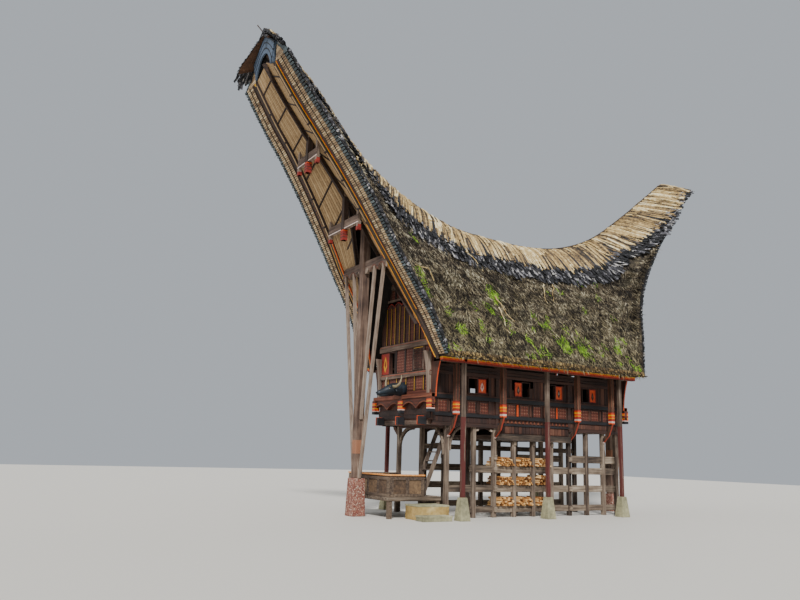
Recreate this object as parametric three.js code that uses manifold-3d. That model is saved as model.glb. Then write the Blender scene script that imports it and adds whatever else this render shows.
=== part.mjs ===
// A tongkonan, the saddle-roofed clan house of the Toraja highlands, as an assembly of separate pieces.
// Millimetres, +Z up. X = 0 is the ridge plane, the entrance gable faces -Y, and the origin lies at
// ground level under the navel post.
import * as THREE from 'three';
import Module from 'manifold-3d';
import { mergeVertices } from 'three/addons/utils/BufferGeometryUtils.js';

const wasm = await Module();
wasm.setup();

// Gap kept between pieces that meet along a sloping or curved face
const GAP = 0.3;

// Roof: skyline of the ridge and the two rakes as (y, z), and its half widths as (z, x)
const RIDGE_LINE = [
  [-11100, 16420], [-9500, 15100], [-8000, 13400], [-6600, 12200], [-5000, 11350], [-3200, 10750],
  [-1200, 10580], [800, 10580], [2600, 10870], [4400, 11600], [6200, 12850], [8000, 14250], [9150, 15190],
];
const FRONT_RAKE = [
  [-11230, 15050], [-10280, 13660], [-9470, 12600], [-8500, 11200], [-7690, 9920], [-7000, 8750],
  [-5900, 6950], [-5410, 5720], [-5250, 5350],
];
const REAR_RAKE = [
  [4050, 5350], [4280, 6260], [4500, 7300], [4700, 8300], [4950, 9000], [5460, 9950], [6290, 11140],
  [7150, 12090], [8060, 13200], [9250, 14370],
];
const OUTER_HALF_WIDTH = [
  [5350, 2970], [6900, 2690], [7600, 2540], [8700, 2420], [10700, 2300], [12100, 2150], [13700, 2000],
  [15050, 1870],
];
const REAR_OUTER_HALF_WIDTH = [
  [5350, 2970], [6900, 2690], [7600, 2540], [8700, 2400], [10700, 2200], [12100, 1950], [13700, 1650],
  [14500, 1500],
];
const INNER_HALF_WIDTH = [
  [5350, 2250], [6100, 2040], [6800, 1820], [7300, 1710], [8600, 1570], [9300, 1450], [10500, 1280],
  [11700, 1120], [12600, 1000], [13800, 910], [15100, 800],
];
// How far the slope bulges outward, as (y, exponent): 1 is straight, less is rounder
const SLOPE_BULGE = [[-11100, 0.85], [-7600, 0.72], [-5250, 0.62], [4050, 0.62], [5600, 0.72], [9200, 0.85]];
const EAVE_Z = 5350;
const FRONT_END_Y = -11100;
const REAR_END_Y = 9200;
const FRONT_CORNER_Y = -5250;
const REAR_CORNER_Y = 4050;
const THATCH_AT_RIDGE = 700;
const THATCH_SHARE = 0.35;
const RIDGE_BEAM_HALF = 120;
const RIDGE_BEAM_DEPTH = 240;
const RIDGE_BEAM_LAST_Y = 7700;

// Lumps of the old thatch between the cap and the rim: how far they stand in or out, their waves
// along the house and down the slope in radians, and how far from the tips they begin
const LUMP = { depth: 65, alongHouse: 0.0024, downSlope: 9, sway: 2, drift: 1.5, fade: 900 };

// Bamboo cap over the ridge: its thickness, overhang past the tips, and half width as (y, x)
const CAP_THICKNESS = 150;
const CAP_EDGE_THICKNESS = 90;
const CAP_OVERHANG = 200;
const CAP_OVERHANG_RISE = 0.5;
const CAP_HALF_WIDTH = [
  [-11500, 1750], [-10800, 1300], [-9800, 950], [-8000, 900], [-6500, 1000], [-5000, 1100], [2000, 1100],
  [4200, 1150], [5000, 1400], [5800, 1560], [6600, 1650], [7800, 1720], [9200, 1750],
];

// Soffit under the horns, both by the height of the rake edge beside it: the height of its inner
// line above that edge, and how far its inner line stands from the ridge plane, where less than
// zero laps the two halves into one centre rib
const SOFFIT_RISE = [
  [5350, 20], [6700, 30], [7200, 140], [8750, 820], [9000, 1000], [9680, 1190], [12570, 520], [15050, 370],
];
const SOFFIT_OPENING = [
  [5350, 2150], [6200, 1860], [6700, 1600], [7200, 1370], [8750, 500], [9000, 350], [9680, -30],
  [15050, -30],
];
const SOFFIT_THICKNESS = 50;
const SOFFIT_EDGE_THICKNESS = 35;
const SOFFIT_CLEARANCE = 40;
const SOFFIT_RIB_WIDTH = 70;
const SOFFIT_RIB_DEPTH = 90;
const SOFFIT_LAST_RAKE_Z = 6400;
const BARGE_DEPTH = 120;
const BARGE_WIDTH = 180;
const BARGE_LIP = 50;

// Body of the house
const FRONT_WALL_Y = -5100;
const REAR_WALL_Y = 4030;
const WALL_THICKNESS = 100;
const SIDE_WALL_X = 1620;
const GABLE_HALF_WIDTH = 1720;
const WALL_TOP = 5200;
const GABLE_WALL_BASE = 3250;
const GABLE_WALL_SPLIT = 6200;
const END_ROOM_FLOOR = 3250;
const MIDDLE_ROOM_FLOOR = 2850;
const FLOOR_THICKNESS = 150;
const END_WALL_BOTTOM = 3100;
const MIDDLE_WALL_BOTTOM = 2700;
const MIDDLE_ROOM = [-2183, 1275];
const HATCH = { x: [500, 1200], y: [-3880, -3200] };
const SIDE_WINDOWS = [[-3470, -3090], [-1020, -670], [320, 600], [2030, 2370]];
const SIDE_SHUTTERS = [[-3060, -2700], [-1380, -1040], [620, 960], [2400, 2740]];
const SIDE_WINDOW_Z = [4260, 4770];
const SHUTTER_THICKNESS = 30;
const GABLE_WINDOW = { x: [-1020, -660], z: [4960, 5750] };
const GABLE_SHUTTER_X = [-1640, -1040];

// Post frames under the house
const POST = 150;
const POST_ROW_X = 1540;
const POST_Y = [-4300, -3160, -2258, -1356, -454, 448, 1350, 2252, 3154, 3880];
const NAVEL_POST = 190;
const MIDDLE_POST_Y = [-4300, -2258, 1350, 3154];
const RAIL_THICKNESS = 60;
const RAILS = [[170, 390], [860, 1100], [1510, 1760]];
const REAR_RAIL = [1930, 2200];
const MIDDLE_TIE = [2300, 2480];

// Eaves: beam, outriggers, hanging posts with their braces, and the columns on concrete bases
const EAVE_BEAM_X = [2380, 2550];
const EAVE_BEAM_HEIGHT = 200;
const OUTRIGGER = 130;
const BRACE = { thickness: 90, footZ: [2720, 2920] };
const HANGING_POST_Y = [-4300, -2258, 1350, 3154];
const HANGING_POST_X = 2100;
const HANGING_POST = 200;
const HANGING_POST_FOOT = 3450;
const COLUMN_Y = [-4280, -540, 3180];
const COLUMN_X = 2460;
const COLUMN = 130;
const COLUMN_BASE = { bottom: 400, top: 240, height: 740 };

// Great posts that carry the horns, their pedestals, yokes and stays
const GREAT_POST = 290;
const FRONT_GREAT_POST_Y = -6920;
const REAR_GREAT_POST_Y = 5270;
const FRONT_PEDESTAL = { bottom: 510, top: 440, height: 1240 };
const REAR_PEDESTAL = { bottom: 510, top: 440, height: 700 };
const YOKE_THICKNESS = 100;
const STAY_WIDTH = 100;
const STAY_TENON = 260;

// Short cross beams under the horns, by the height of the beam's middle
const CROSS_BEAMS = {
  front_lower: { y: -7800, z: 9970, half: 1130 },
  front_upper: { y: -9320, z: 12150, half: 800 },
  rear_lower: { y: 6100, z: 10850, half: 1050 },
  rear_upper: { y: 7500, z: 12500, half: 800 },
};
const CROSS_BEAM = { thickness: 110, height: 300 };
const KING_POST = { width: 170, drop: 550 };
const END_STRUT = { width: 120, drop: 420, inset: 70 };
const YOKES = {
  front: { half: 1550, z: [8300, 8750] },
  rear: { half: 1400, z: [9230, 9680] },
};
const YOKE_SCALLOPS = 6;
const STAYS = { outerInset: 150, outerFootX: 190, outerFootSunk: 60, innerFootX: 150, innerFootZ: 3200 };

// Ornament of the gables
const SCALLOPED_BEAM = { half: 1250, z: [7450, 7750], count: 5, proud: 60 };
const APRON = { half: 1950, z: [3640, 4120], count: 4, depth: 130 };
const APRON_HANGER = { x: [-1850, 0, 1850], width: 180, depth: 200, z: [3500, 4000] };
const JOIST_END = { x: [-1400, 0, 1400], width: 140, proud: 280, tail: 300 };
const CORNER_BRACKET = { thickness: 80, foot: 230, head: 450, z: [4020, 5200] };
const FORWARD_BRACKET = { x: [1600, 1690], foot: 100, head: 260, z: [4120, 5570] };
const TIP_BOARD = { thickness: 90, beyondRim: 150, width: 190, underThatch: 60, openingDrop: 500 };

// Buffalo head: (y, half width, half height, middle height) from the neck to the muzzle, and a horn's path
const HEAD_SECTIONS = [
  [-5100, 200, 250, 4400], [-5450, 170, 215, 4390], [-5700, 180, 205, 4380], [-5950, 120, 140, 4320],
  [-6180, 90, 100, 4270], [-6260, 55, 60, 4265],
];
const HORN_PATH = [[90, -5680, 4470], [320, -5700, 4520], [430, -5770, 4690], [370, -5840, 4850]];
const HORN_RADIUS = 38;

// Platform, steps and stair at the entrance
const DECK = { halfWidth: 1400, front: -6460, back: -4400, bottom: 560, top: 700, leg: 140, legInset: 90 };
const DECK_RAILING = { thickness: 50, top: 1400, stepGapY: -5090 };
const UPPER_STEP = { x: [1300, 2120], y: [-5750, -4560], z: [0, 470] };
const LOWER_STEP = { x: [2120, 2560], y: [-5860, -4740], z: [0, 170] };
const STAIR = { x: [560, 1140], footY: -5050, headY: -4050, string: 50, depth: 160 };
const TREADS = { count: 7, rise: 300, thickness: 40 };

/** Piecewise linear value at t of a table of (t, value) pairs sorted by t. */
function along(table, t) {
  const last = table.length - 1;
  if (t <= table[0][0]) return table[0][1];
  if (t >= table[last][0]) return table[last][1];
  const i = table.findIndex(([key]) => key > t);
  const [t0, v0] = table[i - 1];
  const [t1, v1] = table[i];
  return v0 + ((v1 - v0) * (t - t0)) / (t1 - t0);
}

/** A table of (t, value) pairs smoothed by a spline through its points. */
function smooth(table, samples = 90) {
  const spline = new THREE.SplineCurve(table.map(([t, v]) => new THREE.Vector2(t, v)));
  return spline.getPoints(samples).map((p) => [p.x, p.y]);
}

const ridgeTable = smooth(RIDGE_LINE);
const frontRakeTable = smooth(FRONT_RAKE);
const rearRakeTable = smooth(REAR_RAKE);
const outerTable = smooth(OUTER_HALF_WIDTH);
const rearOuterTable = smooth(REAR_OUTER_HALF_WIDTH);
const innerTable = smooth(INNER_HALF_WIDTH);
const capTable = smooth(CAP_HALF_WIDTH);
const bulgeTable = smooth(SLOPE_BULGE);

/** Height of the thatch at the ridge, under the bamboo cap. */
const thatchTop = (y) => along(ridgeTable, y) - CAP_THICKNESS;

/** Height of the lower edge of the roof: the eave, and the rakes beyond its corners. */
function lowerEdge(y) {
  if (y < FRONT_CORNER_Y) return along(frontRakeTable, y);
  if (y > REAR_CORNER_Y) return along(rearRakeTable, y);
  return EAVE_Z;
}

/** Half width of the roof at its lower edge, measured to the outer face of the thatch. */
const outerHalf = (y) => along(y < 0 ? outerTable : rearOuterTable, lowerEdge(y));

/** Half width of the roof at its lower edge, measured to the inner side of the rim. */
function innerHalf(y) {
  const low = lowerEdge(y);
  return (along(innerTable, low) * outerHalf(y)) / along(outerTable, low);
}

/** Height of the outer face of the thatch at a distance x from the ridge plane. */
function thatchFace(y, x) {
  const low = lowerEdge(y);
  const top = thatchTop(y);
  return top - (top - low) * (x / outerHalf(y)) ** (1 / along(bulgeTable, y));
}

/** How far the thatch stands in or out at a share of the way from the cap's edge down to the rim. */
function thatchLump(y, share) {
  const fade = Math.min(1, (y - FRONT_END_Y) / LUMP.fade, (REAR_END_Y - y) / LUMP.fade);
  const wave = Math.sin(LUMP.alongHouse * y + LUMP.sway * Math.sin(5 * share));
  const course = Math.sin(LUMP.downSlope * share + LUMP.drift * Math.sin(0.0013 * y));
  return LUMP.depth * fade * Math.sqrt(Math.abs(Math.sin(Math.PI * share))) * wave * course;
}

/** Height of the inner face of the thatch at the ridge. */
function atticTop(y) {
  const top = thatchTop(y);
  return top - Math.min(THATCH_AT_RIDGE, THATCH_SHARE * (top - lowerEdge(y)));
}

/** Height that the inner line of a soffit has above the rake edge, kept under the ridge beam. */
function soffitRise(y) {
  const low = lowerEdge(y);
  const beam = y < RIDGE_BEAM_LAST_Y ? RIDGE_BEAM_DEPTH : 0;
  const room = atticTop(y) - beam - SOFFIT_THICKNESS - SOFFIT_CLEARANCE - low;
  return Math.min(along(SOFFIT_RISE, low), room);
}

/** Half width of the ridge cap. */
const capHalf = (y) => Math.min(along(capTable, y), outerHalf(y) * 0.92);

/** The y values of the roof's sections: evenly spread between its corners, and at the gable walls. */
function roofStations() {
  const corners = [
    FRONT_END_Y, -7600, FRONT_CORNER_Y, FRONT_WALL_Y, FRONT_WALL_Y + WALL_THICKNESS,
    REAR_WALL_Y - WALL_THICKNESS, REAR_WALL_Y, REAR_CORNER_Y, 5460, REAR_END_Y,
  ];
  const steps = [8, 8, 1, 1, 14, 1, 1, 6, 9];
  const between = steps.flatMap((count, k) => Array.from({ length: count }, (_, i) => (
    corners[k] + ((corners[k + 1] - corners[k]) * i) / count
  )));
  return [...between, REAR_END_Y];
}

/** A closed triangle mesh turned into a manifold solid. */
function toSolid(geometry) {
  const plain = new THREE.BufferGeometry();
  plain.setAttribute('position', geometry.getAttribute('position').clone());
  if (geometry.index) plain.setIndex(geometry.index.clone());
  const merged = mergeVertices(plain, 1e-3);
  const vertProperties = new Float32Array(merged.getAttribute('position').array);
  const triVerts = new Uint32Array(merged.index.array);
  return new wasm.Manifold(new wasm.Mesh({ numProp: 3, vertProperties, triVerts }));
}

/** A manifold solid turned back into a geometry. */
function toGeometry(solid) {
  const { vertProperties, triVerts, numProp } = solid.getMesh();
  const positions = new Float32Array((vertProperties.length / numProp) * 3);
  for (let i = 0; i < positions.length / 3; i += 1) {
    for (let k = 0; k < 3; k += 1) positions[3 * i + k] = vertProperties[numProp * i + k];
  }
  const geometry = new THREE.BufferGeometry();
  geometry.setAttribute('position', new THREE.BufferAttribute(positions, 3));
  geometry.setIndex(Array.from(triVerts));
  return geometry;
}

const fuse = (first, ...rest) => toGeometry(rest.reduce((sum, g) => sum.add(toSolid(g)), toSolid(first)));
const cut = (first, ...rest) => toGeometry(rest.reduce((sum, g) => sum.subtract(toSolid(g)), toSolid(first)));

/** An axis-aligned box between two values on each axis. */
function block([x0, x1], [y0, y1], [z0, z1]) {
  const geometry = new THREE.BoxGeometry(x1 - x0, y1 - y0, z1 - z0);
  return geometry.translate((x0 + x1) / 2, (y0 + y1) / 2, (z0 + z1) / 2);
}

/** A block centred on x and y that stands from z0 to z1. */
function post(x, y, size, z0, z1) {
  return block([x - size / 2, x + size / 2], [y - size / 2, y + size / 2], [z0, z1]);
}

/** A square bar from one point to another, its sides level with the given width direction. */
function bar(from, to, width, depth, sideways = new THREE.Vector3(1, 0, 0)) {
  const a = new THREE.Vector3(...from);
  const b = new THREE.Vector3(...to);
  const run = b.clone().sub(a);
  const axis = run.clone().normalize();
  const side = sideways.clone().addScaledVector(axis, -sideways.dot(axis)).normalize();
  const up = axis.clone().cross(side);
  const geometry = new THREE.BoxGeometry(width, depth, run.length());
  geometry.applyMatrix4(new THREE.Matrix4().makeBasis(side, up, axis));
  return geometry.translate(...a.add(b).multiplyScalar(0.5).toArray());
}

/** An outline of (x, z) points as a plate between two y values. */
function plateAcross(points, [y0, y1]) {
  const shape = new THREE.Shape(points.map(([x, z]) => new THREE.Vector2(x, z)));
  const geometry = new THREE.ExtrudeGeometry(shape, { depth: y1 - y0, bevelEnabled: false });
  const basis = new THREE.Matrix4().makeBasis(
    new THREE.Vector3(1, 0, 0),
    new THREE.Vector3(0, 0, 1),
    new THREE.Vector3(0, -1, 0),
  );
  return geometry.applyMatrix4(basis).translate(0, y1, 0);
}

/** An outline of (y, z) points as a plate between two x values. */
function plateAlong(points, [x0, x1]) {
  const shape = new THREE.Shape(points.map(([y, z]) => new THREE.Vector2(y, z)));
  const geometry = new THREE.ExtrudeGeometry(shape, { depth: x1 - x0, bevelEnabled: false });
  const basis = new THREE.Matrix4().makeBasis(
    new THREE.Vector3(0, 1, 0),
    new THREE.Vector3(0, 0, 1),
    new THREE.Vector3(1, 0, 0),
  );
  return geometry.applyMatrix4(basis).translate(x0, 0, 0);
}

/** A square frustum, as of a pedestal, standing on z0. */
function frustum(x, y, { bottom, top, height }, z0 = 0) {
  const geometry = new THREE.CylinderGeometry(top / Math.SQRT2, bottom / Math.SQRT2, height, 4);
  geometry.rotateY(Math.PI / 4);
  geometry.rotateX(Math.PI / 2);
  return geometry.translate(x, y, z0 + height / 2);
}

/**
 * A solid through a row of closed (x, z) outlines with equal point counts, one at each y. Where
 * alike is true, every diagonal starts at the corner with the larger x, so that the two faces of a
 * thin twisted sheet are cut alike and don't cross.
 */
function loft(sections, alike = false) {
  const count = sections[0].outline.length;
  const positions = sections.flatMap(({ y, outline }) => outline.flatMap(([x, z]) => [x, y, z]));
  const index = [];
  for (let k = 0; k + 1 < sections.length; k += 1) {
    for (let j = 0; j < count; j += 1) {
      const next = (j + 1) % count;
      const [a, b] = [k * count + j, k * count + next];
      const [c, d] = [(k + 1) * count + j, (k + 1) * count + next];
      const farther = sections[k].outline[j][0] < sections[k].outline[next][0];
      index.push(...(alike && farther ? [a, c, b, b, c, d] : [a, c, d, a, d, b]));
    }
  }
  const addEnd = (k, followsOutline) => {
    const contour = sections[k].outline.map(([x, z]) => new THREE.Vector2(x, z));
    const outlineSign = Math.sign(THREE.ShapeUtils.area(contour));
    THREE.ShapeUtils.triangulateShape(contour, []).forEach((face) => {
      const sign = Math.sign(THREE.ShapeUtils.area(face.map((i) => contour[i])));
      const [a, b, c] = face.map((i) => k * count + i);
      index.push(...((sign === outlineSign) === followsOutline ? [a, b, c] : [a, c, b]));
    });
  };
  addEnd(0, true);
  addEnd(sections.length - 1, false);
  const geometry = new THREE.BufferGeometry();
  geometry.setAttribute('position', new THREE.Float32BufferAttribute(positions, 3));
  geometry.setIndex(index);
  return signedVolume(geometry) < 0 ? turnedInsideOut(geometry) : geometry;
}

/** Volume of a mesh, positive where its faces point outward. */
function signedVolume(geometry) {
  const position = geometry.getAttribute('position');
  const [a, b, c] = [new THREE.Vector3(), new THREE.Vector3(), new THREE.Vector3()];
  let total = 0;
  for (let i = 0; i < geometry.index.count; i += 3) {
    a.fromBufferAttribute(position, geometry.index.getX(i));
    b.fromBufferAttribute(position, geometry.index.getX(i + 1));
    c.fromBufferAttribute(position, geometry.index.getX(i + 2));
    total += a.dot(b.cross(c)) / 6;
  }
  return total;
}

/** The same mesh with the winding of every triangle turned. */
function turnedInsideOut(geometry) {
  const turned = geometry.clone();
  const { array } = turned.index;
  for (let i = 0; i < array.length; i += 3) [array[i + 1], array[i + 2]] = [array[i + 2], array[i + 1]];
  return turned;
}

/** The mirror image of a mesh on the other side of the ridge plane. */
function mirrored(geometry) {
  const image = mergeVertices(geometry.clone().deleteAttribute('uv').deleteAttribute('normal'), 1e-4);
  const position = image.getAttribute('position');
  for (let i = 0; i < position.count; i += 1) position.setX(i, -position.getX(i));
  return turnedInsideOut(image);
}

const palette = {
  thatch: { color: 0x4b463a, roughness: 0.95, metalness: 0 },
  bamboo: { color: 0xb59a6a, roughness: 0.85, metalness: 0 },
  matting: { color: 0xa68a5c, roughness: 0.85, metalness: 0 },
  wood: { color: 0x6f5a48, roughness: 0.8, metalness: 0 },
  carved: { color: 0x4a2418, roughness: 0.75, metalness: 0 },
  trim: { color: 0xc79a1e, roughness: 0.6, metalness: 0 },
  pale: { color: 0x9c9384, roughness: 0.8, metalness: 0 },
  horn: { color: 0x25282b, roughness: 0.6, metalness: 0 },
  board: { color: 0x5d6f82, roughness: 0.7, metalness: 0 },
  concrete: { color: 0x8f8870, roughness: 0.95, metalness: 0 },
  render: { color: 0xa2654c, roughness: 0.95, metalness: 0 },
};
const materials = Object.fromEntries(
  Object.entries(palette).map(([key, look]) => [key, new THREE.MeshStandardMaterial(look)]),
);

const house = new THREE.Group();

function add(name, geometry, look) {
  const mesh = new THREE.Mesh(geometry, materials[look]);
  mesh.name = name;
  house.add(mesh);
}

/** The right-hand piece and its mirror image, as right_NAME and left_NAME. */
function addPair(name, geometry, look) {
  add(`right_${name}`, geometry, look);
  add(`left_${name}`, mirrored(geometry), look);
}

// Thatch of one slope: a thick shell whose flat rims follow the rakes and the eave
function thatchSlope() {
  const capSteps = 3;
  const faceSteps = 8;
  return loft(roofStations().map((y) => {
    const outer = outerHalf(y);
    const capEdge = capHalf(y);
    const face = [];
    for (let i = 0; i <= capSteps; i += 1) face.push((capEdge * i) / capSteps);
    for (let i = 1; i <= faceSteps; i += 1) face.push(capEdge + ((outer - capEdge) * i) / faceSteps);
    const even = face.map((x) => [x, thatchFace(y, x)]);
    const outline = even.map(([x, z], i) => {
      if (i <= capSteps || i === capSteps + faceSteps) return [x, z];
      const [run, fall] = [even[i + 1][0] - even[i - 1][0], even[i - 1][1] - even[i + 1][1]];
      const lump = thatchLump(y, (i - capSteps) / faceSteps) / Math.hypot(run, fall);
      return [x + fall * lump, z + run * lump];
    });
    outline.push([innerHalf(y), lowerEdge(y)], [RIDGE_BEAM_HALF, atticTop(y)], [0, atticTop(y)]);
    return { y, outline };
  }));
}

// Half of the bamboo cap, laid over the ridge and reaching past both tips
function capSlope() {
  const steps = 3;
  const stations = [FRONT_END_Y - CAP_OVERHANG, ...roofStations(), REAR_END_Y + CAP_OVERHANG];
  return loft(stations.map((y) => {
    const inRoof = Math.min(Math.max(y, FRONT_END_Y), REAR_END_Y);
    const capEdge = capHalf(inRoof);
    const lift = y === inRoof ? 0 : CAP_OVERHANG * CAP_OVERHANG_RISE;
    const under = [];
    for (let i = 0; i <= steps; i += 1) {
      const x = (capEdge * i) / steps;
      under.push([x, thatchFace(inRoof, x) + GAP + lift]);
    }
    const over = under.map(([x, z], i) => {
      const thickness = CAP_THICKNESS + ((CAP_EDGE_THICKNESS - CAP_THICKNESS) * i) / steps;
      return [x, z + thickness];
    });
    return { y, outline: [...under, ...over.reverse()] };
  }));
}

// Beam under the ridge that the great posts, the gable walls and the thatch meet
function ridgeBeam() {
  return loft(roofStations().filter((y) => y < RIDGE_BEAM_LAST_Y).map((y) => {
    const top = atticTop(y) - GAP;
    const under = top - RIDGE_BEAM_DEPTH;
    const half = RIDGE_BEAM_HALF;
    return { y, outline: [[-half, under], [half, under], [half, top], [-half, top]] };
  }));
}

// Everything over the underside of the ridge beam, for trimming the post that meets it
function overRidgeBeam() {
  const half = GREAT_POST;
  const reach = 4000;
  return loft(roofStations().filter((y) => y < RIDGE_BEAM_LAST_Y).map((y) => {
    const under = atticTop(y) - RIDGE_BEAM_DEPTH - 2 * GAP;
    return { y, outline: [[-half, under], [half, under], [half, under + reach], [-half, under + reach]] };
  }));
}

/** Stations of one horn, from its tip to where the soffit ends. */
function hornStations(end, lastRakeZ) {
  const inHorn = (y) => (end === 'front' ? y <= FRONT_CORNER_Y : y >= REAR_CORNER_Y);
  return roofStations().filter((y) => inHorn(y) && lowerEdge(y) >= lastRakeZ);
}

// Half of the woven soffit under a horn, with the rib along its inner line
function soffitHalf(end, raise = 0) {
  const drop = raise ? GAP : 0;
  const top = raise || SOFFIT_THICKNESS;
  return loft(hornStations(end, SOFFIT_LAST_RAKE_Z).map((y) => {
    const low = lowerEdge(y);
    const outerX = innerHalf(y) - BARGE_LIP + 5;
    const innerX = Math.min(along(SOFFIT_OPENING, low), outerX - 2 * SOFFIT_RIB_WIDTH);
    const innerZ = low + soffitRise(y);
    const ribX = innerX + SOFFIT_RIB_WIDTH;
    const ribZ = low + ((innerZ - low) * (outerX - ribX)) / (outerX - innerX);
    return {
      y,
      outline: [
        [outerX, low - drop],
        [ribX + drop, ribZ - drop],
        [ribX + drop, ribZ - SOFFIT_RIB_DEPTH - drop],
        [innerX - drop, innerZ - SOFFIT_RIB_DEPTH - drop],
        [innerX - drop, innerZ + top],
        [outerX, low + Math.max(raise, SOFFIT_EDGE_THICKNESS)],
      ],
    };
  }), true);
}

// Barge board under the inner part of the rim, from the tip down to the eave corner
function bargeBoard(end, raise = 0) {
  return loft(hornStations(end, EAVE_Z).map((y) => {
    const low = lowerEdge(y);
    const clear = raise ? GAP : 0;
    const x0 = innerHalf(y) - BARGE_LIP - clear;
    const x1 = x0 + BARGE_WIDTH + 2 * clear;
    const bottom = low - BARGE_DEPTH - clear;
    const top = raise ? low + raise : low - GAP;
    return { y, outline: [[x0, bottom], [x1, bottom], [x1, top], [x0, top]] };
  }));
}

// What fills the horn from its soffit and barge boards up, for trimming the posts that meet them
function hornFilling(end) {
  const reach = 4000;
  const halves = [soffitHalf(end, reach), bargeBoard(end, reach)];
  return fuse(...halves, ...halves.map(mirrored));
}

// Arched board that closes the tip of a horn
function tipBoard(end) {
  const atEnd = end === 'front' ? FRONT_END_Y : REAR_END_Y;
  const outward = end === 'front' ? -1 : 1;
  const low = lowerEdge(atEnd);
  const half = innerHalf(atEnd) + TIP_BOARD.beyondRim;
  const steps = 6;
  const outline = [];
  for (let i = -steps; i <= steps; i += 1) {
    const x = (half * i) / steps;
    outline.push([x, thatchFace(atEnd, Math.abs(x)) - TIP_BOARD.underThatch]);
  }
  const inner = half - TIP_BOARD.width;
  const arch = thatchTop(atEnd) - low - TIP_BOARD.openingDrop;
  for (let i = steps; i >= -steps; i -= 1) {
    const x = (inner * i) / steps;
    outline.push([x, low + 10 + arch * (1 - (x / inner) ** 2)]);
  }
  const span = [atEnd, atEnd + outward * TIP_BOARD.thickness].sort((a, b) => a - b);
  return plateAcross(outline, span);
}

add('front_tip_board', tipBoard('front'), 'board');
add('rear_tip_board', tipBoard('rear'), 'board');
addPair('roof_thatch', thatchSlope(), 'thatch');
add('ridge_cap', fuse(capSlope(), mirrored(capSlope())), 'bamboo');
add('ridge_beam', ridgeBeam(), 'wood');
['front', 'rear'].forEach((end) => {
  add(`${end}_soffit`, fuse(soffitHalf(end), mirrored(soffitHalf(end))), 'matting');
  addPair(`${end}_barge_board`, bargeBoard(end), 'trim');
});

// Side wall with its windows, stepped down at the middle room, and the shutters folded flat beside them
function sideWall() {
  const [y0, y1] = [FRONT_WALL_Y + WALL_THICKNESS, REAR_WALL_Y - WALL_THICKNESS];
  const [m0, m1] = MIDDLE_ROOM;
  const outline = [
    [y0, END_WALL_BOTTOM], [m0, END_WALL_BOTTOM], [m0, MIDDLE_WALL_BOTTOM], [m1, MIDDLE_WALL_BOTTOM],
    [m1, END_WALL_BOTTOM], [y1, END_WALL_BOTTOM], [y1, WALL_TOP], [y0, WALL_TOP],
  ];
  const panel = plateAlong(outline, [SIDE_WALL_X - WALL_THICKNESS, SIDE_WALL_X]);
  const holes = SIDE_WINDOWS.map((span) => block([1000, 2000], span, SIDE_WINDOW_Z));
  const shutters = SIDE_SHUTTERS.map((span) => (
    block([SIDE_WALL_X - 10, SIDE_WALL_X + SHUTTER_THICKNESS], span, SIDE_WINDOW_Z)
  ));
  return fuse(cut(panel, ...holes), ...shutters);
}
addPair('wall', sideWall(), 'carved');

/** The two y values of a gable wall's outer and inner faces, in rising order. */
function gableSpan(end, outset = 0, thickness = WALL_THICKNESS) {
  if (end === 'front') return [FRONT_WALL_Y - outset, FRONT_WALL_Y + thickness];
  return [REAR_WALL_Y - thickness, REAR_WALL_Y + outset];
}

/** A bracket outline in (outward, z) that widens upward in a curve from its foot to its head. */
function bracketOutline({ foot, head, z: [z0, z1] }) {
  const steps = 6;
  const outline = [[0, z0]];
  for (let i = 0; i <= steps; i += 1) {
    const t = i / steps;
    outline.push([foot + (head - foot) * t * t, z0 + (z1 - z0) * t]);
  }
  return [...outline, [0, z1]];
}

// Carved brackets at the corners of a gable wall: two in its plane and two that stand forward of it
function cornerBrackets(end) {
  const outward = end === 'front' ? -1 : 1;
  const wallFace = end === 'front' ? FRONT_WALL_Y : REAR_WALL_Y;
  const span = [wallFace, wallFace - outward * CORNER_BRACKET.thickness].sort((a, b) => a - b);
  const inPlane = bracketOutline(CORNER_BRACKET).map(([x, z]) => [GABLE_HALF_WIDTH - 1 + x, z]);
  const forward = bracketOutline(FORWARD_BRACKET).map(([y, z]) => [wallFace + outward * (y - 1), z]);
  const right = [plateAcross(inPlane, span), plateAlong(forward, FORWARD_BRACKET.x)];
  return [...right, ...right.map(mirrored)];
}

// Lower gable wall with its one window, the sliding shutter beside it and its corner brackets
function gableWall(end) {
  const span = gableSpan(end);
  const panel = block([-GABLE_HALF_WIDTH, GABLE_HALF_WIDTH], span, [GABLE_WALL_BASE, GABLE_WALL_SPLIT]);
  const shutterSpan = end === 'front'
    ? [FRONT_WALL_Y - SHUTTER_THICKNESS, FRONT_WALL_Y + 10]
    : [REAR_WALL_Y - 10, REAR_WALL_Y + SHUTTER_THICKNESS];
  const hole = block(GABLE_WINDOW.x, [span[0] - 100, span[1] + 100], GABLE_WINDOW.z);
  const shutter = block(GABLE_SHUTTER_X, shutterSpan, GABLE_WINDOW.z);
  return fuse(cut(panel, hole), shutter, ...cornerBrackets(end));
}

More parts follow.
